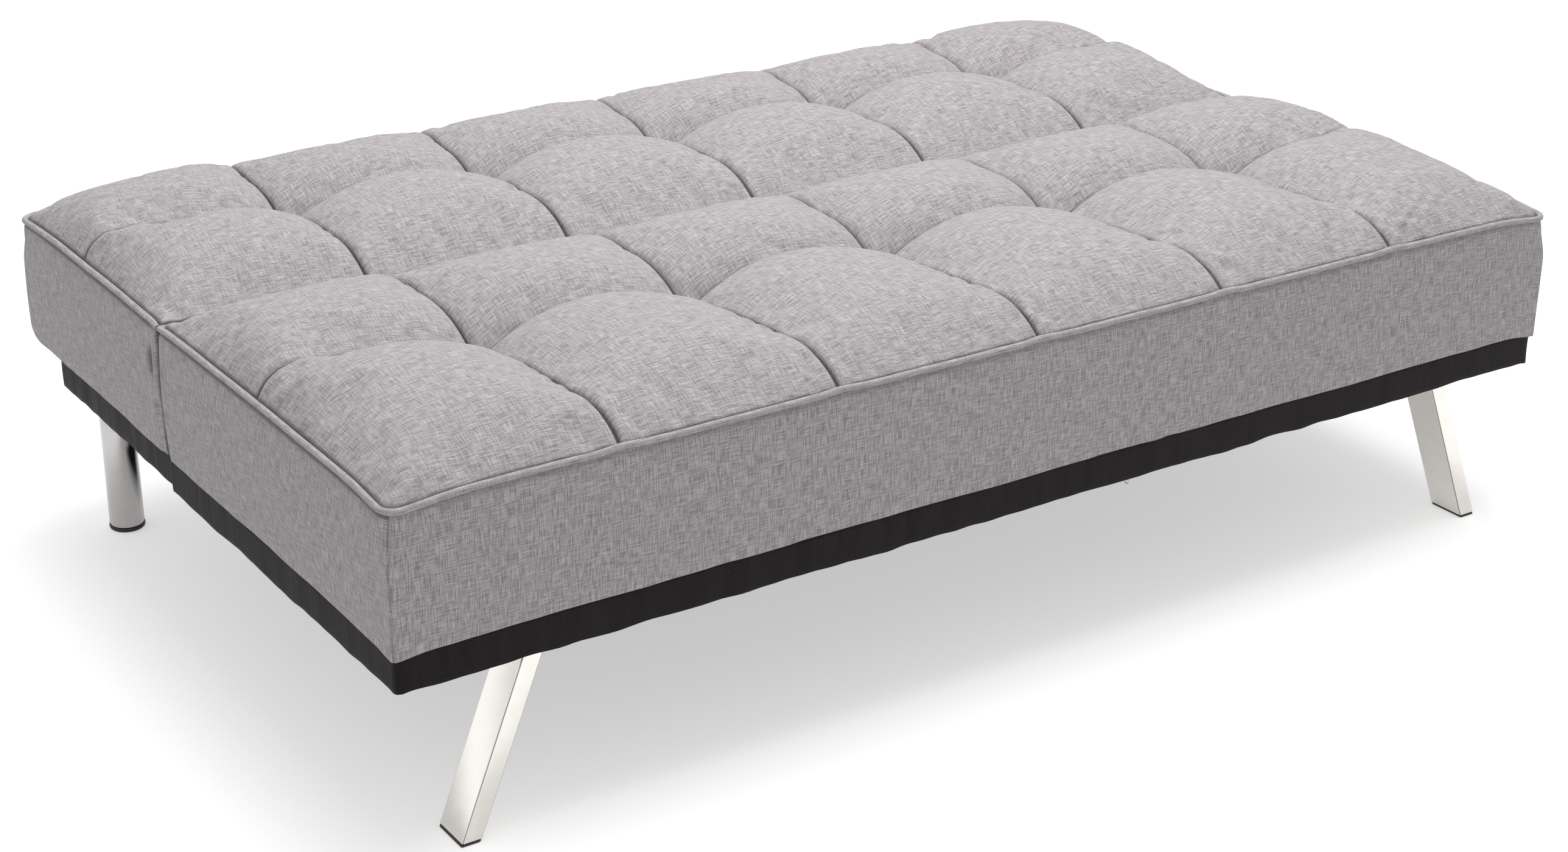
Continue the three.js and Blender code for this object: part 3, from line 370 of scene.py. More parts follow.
chrome = chromed("polished chrome", linear(226, 221, 215), linear(240, 237, 232), 0.05)
# The rear legs' chrome is darker than the front legs': painted shade, as they stand under the bed. It is
# also a little rougher.
shaded_rear_chrome = chromed("satin chrome", linear(182, 180, 179), linear(196, 194, 193), 0.10)
frame_steel = coated("powder coated steel", linear(40, 41, 43), linear(86, 86, 88), 0.45, 0.0)
spring_steel = coated("drawn spring wire", linear(150, 152, 155), linear(92, 88, 84), 0.28, 1.0)
zinc_steel = coated("zinc plated steel", linear(196, 198, 200), linear(168, 166, 150), 0.3, 1.0)
black_plastic = coated("moulded black plastic", linear(26, 26, 28), linear(58, 58, 60), 0.42, 0.0)
pine = pine_wood()
SLOT_FINISHES = {"grey_fabric": grey_linen, "grey_piping": welt_linen, "black_cover": black_satin,
                 "dust_cloth": under_cloth, "wadding": felt, "pine": pine, "frame_steel": frame_steel,
                 "spring_steel": spring_steel, "zinc_steel": zinc_steel, "chrome": chrome,
                 "black_plastic": black_plastic}
print("finishes:", len(SLOT_FINISHES))

# %% [markdown]
# ## Giving the engineering nodes their finishes
# The rails, tubes, hinges and pins keep the shape of the engineering model, because it is already right.
# Only their material changes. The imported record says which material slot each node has.

# %% Finish every node of the engineering model
for part in frame["record"]["subparts"]:
    node = frame["nodes"][part["node"]]
    node.data.materials.clear()
    node.data.materials.append(SLOT_FINISHES[part["material_slot"]])

# %% [markdown]
# ## From points and faces to a piece
# Most covers here are nets of points: rows and columns, like graph paper laid over the form. Such a net
# is easy to bend in numbers, it has no loose ends, and its rows and columns give the cloth its UV map.

# %% Build a piece from a net of points
def net_faces(rows, columns, first=0):
    return [(first + r * columns + c, first + r * columns + c + 1,
             first + (r + 1) * columns + c + 1, first + (r + 1) * columns + c)
            for r in range(rows - 1) for c in range(columns - 1)]


def ring_faces(first, second):
    """Faces that join two closed rings of point numbers."""
    after = np.roll(np.arange(len(first)), -1)
    return [(int(first[k]), int(second[k]), int(second[n]), int(first[n])) for k, n in enumerate(after)]


def make_piece(name, points, faces, finish, weave=None, crease=None):
    mesh = bpy.data.meshes.new(name)
    mesh.from_pydata([tuple(map(float, p)) for p in points], [], faces)
    corners = np.empty(len(mesh.loops), int)
    mesh.loops.foreach_get("vertex_index", corners)
    if weave is not None:
        layer = mesh.uv_layers.new(name="weave")
        layer.data.foreach_set("uv", np.asarray(weave, np.float32)[corners].ravel())
    if crease is not None:
        values = mesh.attributes.new("crease", "FLOAT", "POINT")
        values.data.foreach_set("value", np.asarray(crease, np.float32))
    mesh.shade_smooth()
    mesh.materials.append(finish)
    return to_scene(name, mesh)


def facing_out(piece):
    """Turns the faces of a closed piece outwards."""
    shape = bmesh.new()
    shape.from_mesh(piece.data)
    bmesh.ops.recalc_face_normals(shape, faces=shape.faces)
    if shape.calc_volume(signed=True) < 0:
        bmesh.ops.reverse_faces(shape, faces=shape.faces)
    shape.to_mesh(piece.data)
    shape.free()


def closed_piece(name, rings, finish, weave=None, crease=None, capped=True):
    """A closed body from rings of equal count, capped at its ends or joined last to first."""
    numbers = np.arange(len(rings) * len(rings[0])).reshape(len(rings), -1)
    faces = [face for pair in zip(numbers, numbers[1:]) for face in ring_faces(*pair)]
    if capped:
        faces += [tuple(numbers[0].tolist()), tuple(numbers[-1, ::-1].tolist())]
    else:
        faces += ring_faces(numbers[-1], numbers[0])
    piece = make_piece(name, np.concatenate(rings), faces, finish, weave, crease)
    facing_out(piece)
    return piece


print("net of 3 by 3 points has", len(net_faces(3, 3)), "faces")

# %% [markdown]
# ## The pillow shape of a tuft
# A tuft is foam pulled down along its seams and hardest at the points where the seams cross. Seen as a
# surface it hangs from its four corners, its four edges bow up between them, and its middle swells. The
# shape below is that sum. It follows the engineering solid, so the finished cushion fills the same space.

# %% Heights of the tufted tops
CROWN_RISE, CROSSING_DROP = 0.044, 0.021
ROW_SEAM_RISE, COLUMN_SEAM_RISE = 0.026, 0.024
FOLD_SEAM_Z = 0.410
ROW_POWER, COLUMN_POWER, END_POWER, FRONT_POWER = 2.9, 2.2, 8.0, 5.0


def swelling(share, low_power, high_power):
    """0 at both ends of a share and 1 in the middle. A higher power rises more steeply from its end."""
    power = np.where(share < 0.5, low_power, high_power)
    return 1 - np.abs(2 * share - 1) ** power


def tuft_height(column, row, across, along, fold_row):
    """Height over one tuft. Across and along are shares from 0 to 1, as arrays."""
    outer_row = 2 - fold_row

    def crossing(i, j):
        if i in (0, 6) or j == outer_row:
            return WELT_Z
        return FOLD_SEAM_Z if j == fold_row else WELT_Z - CROSSING_DROP

    def bow(on_edge, rise, first, second):
        return 0 if on_edge else WELT_Z + rise - (first + second) / 2

    def flat(s, t):
        near = crossing(column, row) * (1 - s) + crossing(column + 1, row) * s
        far = crossing(column, row + 1) * (1 - s) + crossing(column + 1, row + 1) * s
        return near * (1 - t) + far * t

    bows_x = [bow(j in (0, 2), ROW_SEAM_RISE, crossing(column, j), crossing(column + 1, j))
              for j in (row, row + 1)]
    bows_y = [bow(i in (0, 6), COLUMN_SEAM_RISE, crossing(i, row), crossing(i, row + 1))
              for i in (column, column + 1)]
    bow_x = bows_x[0] * (1 - along) + bows_x[1] * along
    bow_y = bows_y[0] * (1 - across) + bows_y[1] * across
    middle = flat(0.5, 0.5) + sum(bows_x) / 2 + sum(bows_y) / 2
    swell = WELT_Z + CROWN_RISE - middle
    rise_x = swelling(across, *[END_POWER if column == end else COLUMN_POWER for end in (0, 5)])
    rise_y = swelling(along, *[FRONT_POWER if at == outer_row else ROW_POWER for at in (row, row + 1)])
    return flat(across, along) + rise_x * bow_x + rise_y * bow_y + rise_x * rise_y * swell


print("crown of a tuft at z =", round(float(tuft_height(2, 0, np.array(0.5), np.array(0.5), 2)), 4))

# %% [markdown]
# ## Laying out a cushion's top
# The top is a net with the same number of steps over each tuft, so that every seam falls on a line of the
# net. Sewing is never exact: each seam wanders by a millimetre or two, and the long sides are drawn in a
# little between the corners.

# %% Net of a tufted top
END_DRAW, SIDE_DRAW = 0.0015, 0.003
WELT_ARC = 0.020
CORNER_SAG = {True: 0.0075, False: 0.0045}
SAG_REACH, SEAM_WANDER = 0.055, 0.0032


def sag(away, seat):
    """How far the piping sags near a corner of the seat, or of the back."""
    return CORNER_SAG[seat] * hump(away, SAG_REACH)


def drawn_to_arc(points, seat, share=1.0):
    """Moves points at the two outer corners towards arcs round the piping's centre, by a share."""
    way, outer_y = (-1, FRONT_Y) if seat else (1, REAR_Y)
    inset = WELT_RADIUS + WELT_ARC
    for side in (-1, 1):
        centre = np.array((side * (HALF_LENGTH - inset), outer_y - way * inset))
        from_centre = (points[..., :2] - centre) * (side, way)
        square = from_centre.max(axis=-1)
        reach = np.maximum(np.linalg.norm(from_centre, axis=-1), 1e-9)
        past = (from_centre.min(axis=-1) > 0) & (square > 0.004)
        shrink = 1 + np.where(past, (square / reach - 1) * share, 0)
        points[..., :2] = centre + from_centre * shrink[..., None] * (side, way)
    return points


def corners_rounded(net, seat):
    """Rounds the two outer corners to the arc of the piping, and lets them sag with it."""
    outer_y = FRONT_Y if seat else REAR_Y
    net = drawn_to_arc(net, seat)
    for side in (-1, 1):
        away = np.hypot(net[..., 0] - side * HALF_LENGTH, net[..., 1] - outer_y)
        inside = np.minimum(HALF_LENGTH - np.abs(net[..., 0]), np.abs(net[..., 1] - outer_y)) - CORE_INSET
        net[..., 2] -= sag(np.maximum(away - 0.01, 0), seat) * hump(np.maximum(inside, 0), 0.014)
    return net


def seam_shares(steps, closeness):
    """Shares from 0 to 1 that lie closer together near the seams."""
    t = np.linspace(0, 1, steps + 1)
    return t * (1 - closeness) + (0.5 - 0.5 * np.cos(np.pi * t)) * closeness


def tufted_net(row_seams, fold_row, steps):
    shares = seam_shares(steps, 0)
    columns = len(COLUMN_SEAMS) - 1
    net = np.zeros((2 * steps + 1, columns * steps + 1, 3))
    outwards = 1 if fold_row == 0 else -1
    outer_y = row_seams[2] if fold_row == 0 else row_seams[0]
    for i in range(columns):
        for j in range(2):
            s, t = np.meshgrid(shares, shares)
            block = net[j * steps:(j + 1) * steps + 1, i * steps:(i + 1) * steps + 1]
            block[..., 0] = COLUMN_SEAMS[i] + (COLUMN_SEAMS[i + 1] - COLUMN_SEAMS[i]) * s
            block[..., 1] = row_seams[j] + (row_seams[j + 1] - row_seams[j]) * t
            block[..., 2] = tuft_height(i, j, s, t, fold_row)
    x, y = net[..., 0].copy(), net[..., 1].copy()
    deep = row_seams[2] - row_seams[0]
    along = (x - COLUMN_SEAMS[0]) / (COLUMN_SEAMS[-1] - COLUMN_SEAMS[0])
    across = (y - row_seams[0]) / deep
    to_outer = np.clip(1 - np.abs(y - outer_y) / deep, 0, 1)
    net[..., 0] -= (2 * along - 1) * END_DRAW * np.sin(np.pi * across)
    net[..., 1] -= outwards * to_outer * SIDE_DRAW * np.sin(np.pi * along)
    inside = np.prod([np.sin(np.pi * np.clip(share, 0, 1)) ** 0.3 for share in (along, across)], axis=0)
    wander = np.array([[(swing(p, 0.16, 3.1), swing(p, 0.13, 8.7)) for p in zip(*line)]
                       for line in zip(x, y)])
    net[..., :2] += SEAM_WANDER * wander * inside[..., None]
    return net


print("net of the seat:", tufted_net(SEAT_ROWS, 2, 4).shape)

# %% [markdown]
# ## Closing the net into a cushion
# Air pressure needs a closed body, and so does a cushion that is seen from behind when the back stands
# up. The rim of the top runs down as a wall, and a flat foot closes it.

# %% Walls and foot of a cushion
def rim_of(rows, columns):
    """Places of the rim's points, once round."""
    front = [(0, c) for c in range(columns)]
    right = [(r, columns - 1) for r in range(1, rows)]
    back = [(rows - 1, c) for c in range(columns - 2, -1, -1)]
    left = [(r, 0) for r in range(rows - 2, 0, -1)]
    return front + right + back + left


WALL_STEPS, WALL_INSET = 5, 0.0009


def closed_cushion(net, foot_z):
    rows, columns, _ = net.shape
    points = [net.reshape(-1, 3)]
    faces = net_faces(rows, columns)
    rim = rim_of(rows, columns)
    top = np.array([r * columns + c for r, c in rim])
    rim_points = points[0][top]
    centre = rim_points[:, :2].mean(0)
    rings, count = [top], rows * columns
    for step in range(1, WALL_STEPS + 1):
        ring = rim_points.copy()
        pull = WALL_INSET * math.sin(math.pi * step / WALL_STEPS / 2)
        ring[:, :2] -= np.sign(ring[:, :2] - centre) * pull
        ring[:, 2] += (foot_z - ring[:, 2]) * step / WALL_STEPS
        points.append(ring)
        rings.append(count + np.arange(len(rim)))
        count += len(rim)
    for upper, lower in zip(rings, rings[1:]):
        faces += ring_faces(upper, lower)
    foot = rings[-1]
    turn = columns + rows - 2
    front, right = foot[:columns], foot[columns:turn]
    back, left = foot[turn:turn + columns][::-1], foot[turn + columns:]
    faces.append((front[0], *left[::-1], back[0], back[1], front[1]))
    faces += [(front[c], back[c], back[c + 1], front[c + 1]) for c in range(1, columns - 2)]
    faces.append((front[-2], back[-2], back[-1], *right[::-1], front[-1]))
    return np.concatenate(points), [tuple(int(i) for i in face) for face in faces]


print("closed test cushion:", len(closed_cushion(tufted_net(SEAT_ROWS, 2, 4), FOAM_FOOT_Z)[1]), "faces")

# %% [markdown]
# ## Letting the cloth swell
# A modelled pillow is too perfect. Real cloth is cut a little larger than the foam, so it gathers where
# it is sewn down and lies smooth on the crown. Blender's Cloth does this: the seams, the rim, the walls
# and the foot are pinned, the cloth is given a few percent of slack, and pressure from inside lifts it
# for twenty frames. Gravity is off. No point may move further than the cap, and the result is kept as
# plain points.

# %% Cloth simulation of a top
SWELL_CAP, SWELL_FRAMES = 0.024, 20
CLOTH_SETTINGS = {"quality": 7, "mass": 0.25, "tension_stiffness": 18, "compression_stiffness": 18,
                  "shear_stiffness": 6, "bending_stiffness": 0.6, "use_pressure": True,
                  "uniform_pressure_force": 2.4, "shrink_min": -0.025}


def swollen(net, foot_z, steps):
    rows, columns, _ = net.shape
    points, faces = closed_cushion(net, foot_z)
    body = make_piece("swelling test body", points, faces, grey_linen)
    facing_out(body)
    sewn = body.vertex_groups.new(name="sewn down")
    row, column = np.divmod(np.arange(rows * columns), columns)
    held = np.nonzero((row % steps == 0) | (column % steps == 0))[0].tolist()
    sewn.add(held + list(range(rows * columns, len(points))), 1.0, "REPLACE")
    cloth = body.modifiers.new("Cloth", "CLOTH")
    cloth.settings.vertex_group_mass = sewn.name
    for name, value in CLOTH_SETTINGS.items():
        setattr(cloth.settings, name, value)
    cloth.settings.effector_weights.gravity = 0
    cloth.point_cache.frame_start, cloth.point_cache.frame_end = 1, SWELL_FRAMES
    for step in range(1, SWELL_FRAMES + 1):
        bpy.context.scene.frame_set(step)
    result = body.evaluated_get(bpy.context.evaluated_depsgraph_get()).data
    moved = np.empty(len(result.vertices) * 3, np.float32)
    result.vertices.foreach_get("co", moved)
    moved = moved.reshape(-1, 3)[:rows * columns].reshape(net.shape).astype(float)
    bpy.context.scene.frame_set(1)
    bpy.data.objects.remove(body)
    travel = moved - net
    length = np.linalg.norm(travel, axis=2, keepdims=True)
    return net + travel * np.minimum(1, SWELL_CAP / np.maximum(length, 1e-9))


print("cloth may move by", SWELL_CAP * 1000, "mm")

# %% [markdown]
# ## A finer net, and the creases along the seams
# The simulation runs on a coarse net to stay quick. A smooth curve through its points gives the fine net,
# tuft by tuft, so that each seam stays a sharp valley. Then the thread pulls the cloth down once more in
# a narrow crease along every seam, deepest where two seams cross.

# %% Refine the net and press in the seams
def finer(shares, steps):
    """Weights that carry a smooth curve of `steps` equal steps to the given shares."""
    weights = np.zeros((len(shares), steps + 1))
    for line, share in enumerate(shares):
        at = min(int(share * steps), steps - 1)
        u = share * steps - at
        pull = [(-u + 2 * u * u - u ** 3) / 2, (2 - 5 * u * u + 3 * u ** 3) / 2,
                (u + 4 * u * u - 3 * u ** 3) / 2, (u ** 3 - u * u) / 2]
        for place, weight in zip(range(at - 1, at + 3), pull):
            if place < 0:
                weights[line, 0] += 2 * weight
                weights[line, 1] -= weight
            elif place > steps:
                weights[line, steps] += 2 * weight
                weights[line, steps - 1] -= weight
            else:
                weights[line, place] += weight
    return weights


def refined(net, steps, fine_steps):
    carry = finer(seam_shares(fine_steps, 0.88), steps)
    rows, columns = (net.shape[0] - 1) // steps, (net.shape[1] - 1) // steps
    fine = np.zeros((rows * fine_steps + 1, columns * fine_steps + 1, 3))
    for j in range(rows):
        for i in range(columns):
            block = net[j * steps:(j + 1) * steps + 1, i * steps:(i + 1) * steps + 1]
            fine[j * fine_steps:(j + 1) * fine_steps + 1, i * fine_steps:(i + 1) * fine_steps + 1] = (
                np.einsum("ra,sb,abk->rsk", carry, carry, block))
    return fine


SEAM_DEPTH, SEAM_WIDTH = 0.0062, 0.0030
# Widths of the shade painted into the colour along the seams and along the rim of the top.
SEAM_DARKNESS, RIM_DARKNESS = 0.0027, 0.0046


def pressed_seams(fine, fine_steps):
    """The net with its creases, and the shade painted along the seams and the rim, from 0 to 1."""
    def nearest(lines):
        return np.minimum.reduce([np.linalg.norm(fine - line, axis=2) for line in lines])

    columns = range(fine_steps, fine.shape[1] - 1, fine_steps)
    to_seam = nearest([fine[:, c:c + 1] for c in columns] + [fine[fine_steps:fine_steps + 1]])
    to_rim = nearest([fine[:, :1], fine[:, -1:], fine[:1], fine[-1:]])
    out = fine.copy()
    out[..., 2] -= SEAM_DEPTH * hump(to_seam, SEAM_WIDTH)
    return out, np.maximum(hump(to_seam, SEAM_DARKNESS, 4), hump(to_rim, RIM_DARKNESS, 4))


def laid_out(net):
    """Lengths along the cloth in both directions, in metres, from the middle of the net."""
    runs = [run_along(steps_along(net, axis).mean(1 - axis)) for axis in (1, 0)]
    return np.stack(np.meshgrid(*[run - run[-1] / 2 for run in runs]), axis=2)


print("weights sum to", finer([0.3], 5).sum().round(6))

# %% [markdown]
# ## The two cushions
# The seat's cushion and the back's cushion meet at the fold. Each slopes down to it, so that the back can
# turn up without crushing its cloth against the seat's. The slope is kept below 50 degrees.

# %% Seat and back cushions
NET_STEPS, FINE_STEPS = 26, 60
FOLD_SLOPE = math.tan(math.radians(50))
LAST_SEAM_X, LAST_TUFT = 0.5667, 0.2745
FOLD_WALL, FOLD_WALL_SHADE = 0.012, 0.15


def cleared_at_fold(net):
    """Keeps the cushion out of the wedge that the other cushion needs when the back is up."""
    limit = FOLD_SEAM_Z + 0.001 + np.abs(net[..., 1] - FOLD_Y) * FOLD_SLOPE
    at_end = np.clip((np.abs(net[..., 0]) - LAST_SEAM_X) / LAST_TUFT, 0, 1) * (WELT_Z - FOLD_SEAM_Z)
    net[..., 2] = np.minimum(net[..., 2], limit + at_end)
    return net


def wall_dark(points):
    """Painted shade on the walls: 1 behind the side cover, nearly 0 on the side that shows when the back
    is up.
    """
    return np.where(np.abs(points[:, 1] - FOLD_Y) < FOLD_WALL, FOLD_WALL_SHADE, 1.0)


def cushion(name, row_seams, fold_row):
    net = tufted_net(row_seams, fold_row, NET_STEPS)
    net = swollen(net, FOAM_FOOT_Z, NET_STEPS)
    fine, dark = pressed_seams(refined(net, NET_STEPS, FINE_STEPS), FINE_STEPS)
    fine = corners_rounded(cleared_at_fold(fine), fold_row == 2)
    points, faces = closed_cushion(fine, FOAM_FOOT_Z)
    spare = len(points) - fine.shape[0] * fine.shape[1]
    cloth = laid_out(fine).reshape(-1, 2)
    rim = [r * fine.shape[1] + c for r, c in rim_of(*fine.shape[:2])]
    walls = np.concatenate([cloth[rim] + (0, -0.02 * k) for k in range(1, spare // len(rim) + 1)])
    piece = make_piece(name, points, faces, grey_linen, np.concatenate([cloth, walls]),
                       np.concatenate([dark.ravel(), wall_dark(points[-spare:])]))
    facing_out(piece)
    print(name, "crown", fine[..., 2].max().round(4), "faces", len(faces))
    return piece


seat_cover = cushion("seat_cushion_cover", SEAT_ROWS, 2)
back_cover = cushion("back_cushion_cover", BACK_ROWS, 0)

# %% [markdown]
# ## Room for the hinges
# A click clack hinge stands inside each end of the fold, and its arms turn with the back. The foam has a
# slot there, open towards the fold and towards the frame, while the cloth above it stays whole. A Boolean
# cuts the two slots of each cushion after its seams are made.

# %% Cut the hinge slots
SLOT_X, SLOT_FOOT_Z, SLOT_TOP_Z = (0.7927, 0.8192), 0.24, 0.4222


def slotted(cover, low_y, high_y):
    points, faces = [], []
    for side in (-1, 1):
        first = len(points)
        points += [(side * x, y, z) for x in SLOT_X for y in (low_y, high_y)
                   for z in (SLOT_FOOT_Z, SLOT_TOP_Z)]
        faces += [tuple(first + i for i in face) for face in
                  ((0, 1, 3, 2), (4, 6, 7, 5), (0, 4, 5, 1), (2, 3, 7, 6), (0, 2, 6, 4), (1, 5, 7, 3))]
    cutter = make_piece("slot cutter", points, faces, grey_linen)
    facing_out(cutter)
    above = [v.co.z for v in cover.data.vertices
             if SLOT_X[0] < abs(v.co.x) < SLOT_X[1] and low_y < v.co.y < high_y and v.co.z > 0.40]
    cut = cover.modifiers.new("slots", "BOOLEAN")
    cut.operation, cut.solver, cut.object = "DIFFERENCE", "EXACT", cutter
    shape = modelled(cover)
    cover.modifiers.clear()
    cover.data = shape
    bpy.data.objects.remove(cutter)
    print(cover.name, "lowest cloth over a slot", round(min(above), 4), "faces", len(shape.polygons))


slotted(seat_cover, -0.069, 0.075)
slotted(back_cover, 0.055, 0.164)
for cover, body, solid in ((seat_cover, "base", "seat_cushion"),
                           (back_cover, "backrest", "back_cushion")):
    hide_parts(solid)
    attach(cover, body)

# %% [markdown]
# ## The outline that every band follows
# The side covers, the piping and the black base cloth all run round the same outline: from the fold at
# the left end, round the outer side, to the fold at the right end. One function gives points along it, at
# any inset and corner radius. The lines lie closer together at the corners, where the bands bend.

# %% Points along the outline
def outline(seat, inset, corner, spacing=0.010, fine=0.003, ends=0.0, drawn=1.0, hold=0.0):
    """Points and outward directions from fold to fold, with the length run so far."""
    half_x = HALF_LENGTH - inset
    way = -1 if seat else 1
    fold = FOLD_Y + way * (FOLD_GAP / 2 + ends)
    outer = (FRONT_Y if seat else REAR_Y) - way * inset
    arc_y = outer - way * corner
    t = np.linspace(0, 1, 400)
    side = np.stack([-half_x + drawn * END_DRAW * np.sin(np.pi * t), fold + (arc_y - fold) * t], axis=1)
    turn = np.linspace(0, np.pi / 2, 60)[1:]
    bend = np.stack([-half_x + corner * (1 - np.cos(turn)), arc_y + way * corner * np.sin(turn)], axis=1)
    m = np.linspace(0, 1, 1200)[1:-1]
    long_side = np.stack([-half_x + corner + 2 * (half_x - corner) * m,
                          outer - way * drawn * SIDE_DRAW * np.sin(np.pi * m)], axis=1)
    left = np.concatenate([side, bend])
    line = np.concatenate([left, long_side, (left * (-1, 1))[::-1]])
    run = run_along(steps_along(line))
    first = steps_along(side).sum() + corner * np.pi / 4
    corners = (first, run[-1] - first)

    def step(s):
        away = max(0, min(abs(s - c) for c in (*corners, 0, run[-1])) - hold)
        return fine + (spacing - fine) * min(1, (away / 0.07) ** 1.2)

    stops, s = [0.0], 0.0
    while s < run[-1]:
        s += step(s)
        stops.append(s)
    stops = np.array(stops) * run[-1] / stops[-1]
    for c in corners:
        stops[np.argmin(np.abs(stops - c))] = c

    def at_run(s):
        return np.stack([np.interp(s, run, line[:, k]) for k in (0, 1)], axis=1)

    tangent = at_run(np.minimum(stops + 0.001, run[-1])) - at_run(np.maximum(stops - 0.001, 0))
    tangent /= np.linalg.norm(tangent, axis=1, keepdims=True)
    outward = np.stack([tangent[:, 1], -tangent[:, 0]], axis=1) * -way
    return {"at": at_run(stops), "out": outward, "run": stops,
            "corners": corners, "length": run[-1], "seat": seat}


print("outline of the seat is", round(outline(True, 0.002, 0.004)["length"], 3), "m long")

# %% [markdown]
# ## Sweeping a section along the outline
# A band is a closed section carried along the outline. The section is a list of (inset, height) pairs,
# and it may change on the way: at a corner the cloth is pinched, at the fold it has an end. Each ring of
# points becomes one line of the net, and both ends are closed.

# %% Sweep a section into a closed band
def band(name, path, section, finish, crease=None, upright=False):
    """Section(k) gives the (outwards, height) pairs of ring k. The pairs run once round the section."""
    rings, weave, dark = [], [], []
    count = len(path["run"])
    for k in range(count):
        pairs = np.array(section(k))
        ring = np.zeros((len(pairs), 3))
        ring[:, :2] = path["at"][k] + pairs[:, :1] * path["out"][k]
        ring[:, 2] = pairs[:, 1]
        rings.append(ring)
        around = run_along(steps_along(pairs))
        laid = [np.full(len(pairs), path["run"][k]), around]
        weave.append(np.stack(laid[::-1] if upright else laid, axis=1))
        dark.append(np.zeros(len(pairs)) if crease is None else crease(k, pairs))
    return closed_piece(name, rings, finish, np.concatenate(weave), np.concatenate(dark))


print("band helper ready")

# %% [markdown]
# ## Grey side covers
# Under the piping a padded grey band runs round three sides of the seat and of the back. It is cloth over
# a little wadding: slightly full at half height, pulled in under the piping, with a seam down each corner
# and a soft lower edge that hangs a few millimetres over the black base. Near the fold the back's band
# carries a slack fold, like a small pocket, where its cloth was gathered.

# %% Side covers
def corner_distance(path, k):
    return min(abs(path["run"][k] - c) for c in path["corners"])


def hanging_edge(path, k):
    """Height of the lower edge: wavy, and lower at the corners of the seat."""
    s, seat = path["run"][k], path["seat"]
    wave = 0.0016 * swing((s, 0.3 if seat else 4.2), 0.11, 5.5) + 0.0009 * swing((s, 1.7), 0.035, 2.5)
    return COVER_FOOT_Z + wave - (0.0018 + 0.0042 * hump(corner_distance(path, k), 0.028)) * seat


TUCK_RADIUS = 0.030
TUCK_Y, TUCK_Z = REAR_Y - 0.002 - TUCK_RADIUS, COVER_FOOT_Z + TUCK_RADIUS
TUCK_LEVEL, INNER = 0.3, -0.0065
SIDE_BELLY, SIDE_WAVE, SIDE_RIPPLE = 0.0026, 0.0011, 0.0008
SEAM_PINCH, WELT_TUCK, FOLD_TUCK = 0.0011, 0.0022, 0.0060


def side_section(path):
    """The section of a side cover: hem, outer face from foot to head, top, inner face and underside."""
    levels = np.concatenate([np.linspace(0, 0.95, 28), np.linspace(0.958, 1, 7)])
    seat, (first, last) = path["seat"], path["corners"]
    thin = -0.0033 if seat else INNER

    def section(k):
        s = path["run"][k]
        away = corner_distance(path, k)
        end = min(s, path["length"] - s)
        seam, near_corner = hump(away, 0.0019), hump(away, 0.05)
        low = hanging_edge(path, k)
        high = WELT_Z - 0.0022 - 0.006 * near_corner * (1 if seat else 0.6)
        tucked = not seat and first + 0.0033 < s < last - 0.0033
        past = path["at"][k][1] - TUCK_Y
        if not seat and past > 0 and not tucked:
            low = max(low, TUCK_Z - math.sqrt(max(0, TUCK_RADIUS ** 2 - past ** 2)))
        face = []
        for level in levels:
            h, back_in = level, 0.0
            z = low + (high - low) * h
            if tucked:
                angle = min(1, level / TUCK_LEVEL) * math.pi / 2
                back_in = -TUCK_RADIUS * (1 - math.sin(angle))
                above = max(0, level - TUCK_LEVEL) / (1 - TUCK_LEVEL)
                z = TUCK_Z - TUCK_RADIUS * math.cos(angle) + above * (high - TUCK_Z)
                h = (z - COVER_FOOT_Z) / (high - COVER_FOOT_Z)
            belly = math.sin(math.pi * min(1, max(0, h)))
            full = SIDE_BELLY * belly ** 0.8 * (1 - 0.75 * near_corner)
            full += SIDE_WAVE * swing((s, z), 0.085, 1.0) * belly
            full += SIDE_RIPPLE * swing((s * 2.2, z * 0.5), 0.045, 6.0) * belly * (0.4 + near_corner)
            full -= SEAM_PINCH * seam * (1 - 0.3 * h)
            full -= WELT_TUCK * max(0, h - 0.93) / 0.07
            if end < 0.09:
                full += pocket(path, s, z, end)
            full -= FOLD_TUCK * hump(end, 0.0048)
            face.append((full + back_in, z))
        top = [(-0.0020, high + 0.0012), (INNER, high + 0.0006)]
        inside = [(INNER, TUCK_Z + (high - TUCK_Z) * h) for h in (0.66, 0.33)]
        if tucked:
            hem = [(-TUCK_RADIUS - out, COVER_FOOT_Z + up)
                   for out, up in ((0.0010, 0.0022), (0.0008, 0.0004))]
            under = [(-TUCK_RADIUS + (TUCK_RADIUS + INNER) * math.sin(a),
                      TUCK_Z - (TUCK_RADIUS - 0.0030) * math.cos(a)) for a in (1.5, 1.0, 0.55, 0.15)]
        else:
            hem = [(thin, low + 0.0012), (thin * 0.55, low - 0.0004)]
            foot = max(COVER_FOOT_Z, low)
            under = [(INNER, foot + rise) for rise in (0.022, 0.011, 0.0012)] + [(thin, foot + 0.0010)]
        return hem + face + top + inside + under

    return section


POCKET_Z, POCKET_HALF, POCKET_END = 0.374, 0.026, 0.0165


def slit(z, end, length):
    """0 to 1 in the pocket's slit: sharp towards the fold, fading away from it over a length."""
    tall = np.clip(1 - ((z - POCKET_Z) / POCKET_HALF) ** 2, 0, 1)
    past = end - POCKET_END
    reach = length * (0.15 + 0.85 * tall)
    return tall ** 0.7 * (0.0 if past < 0 else min(1, past / 0.0015) * hump(past, reach, 4))


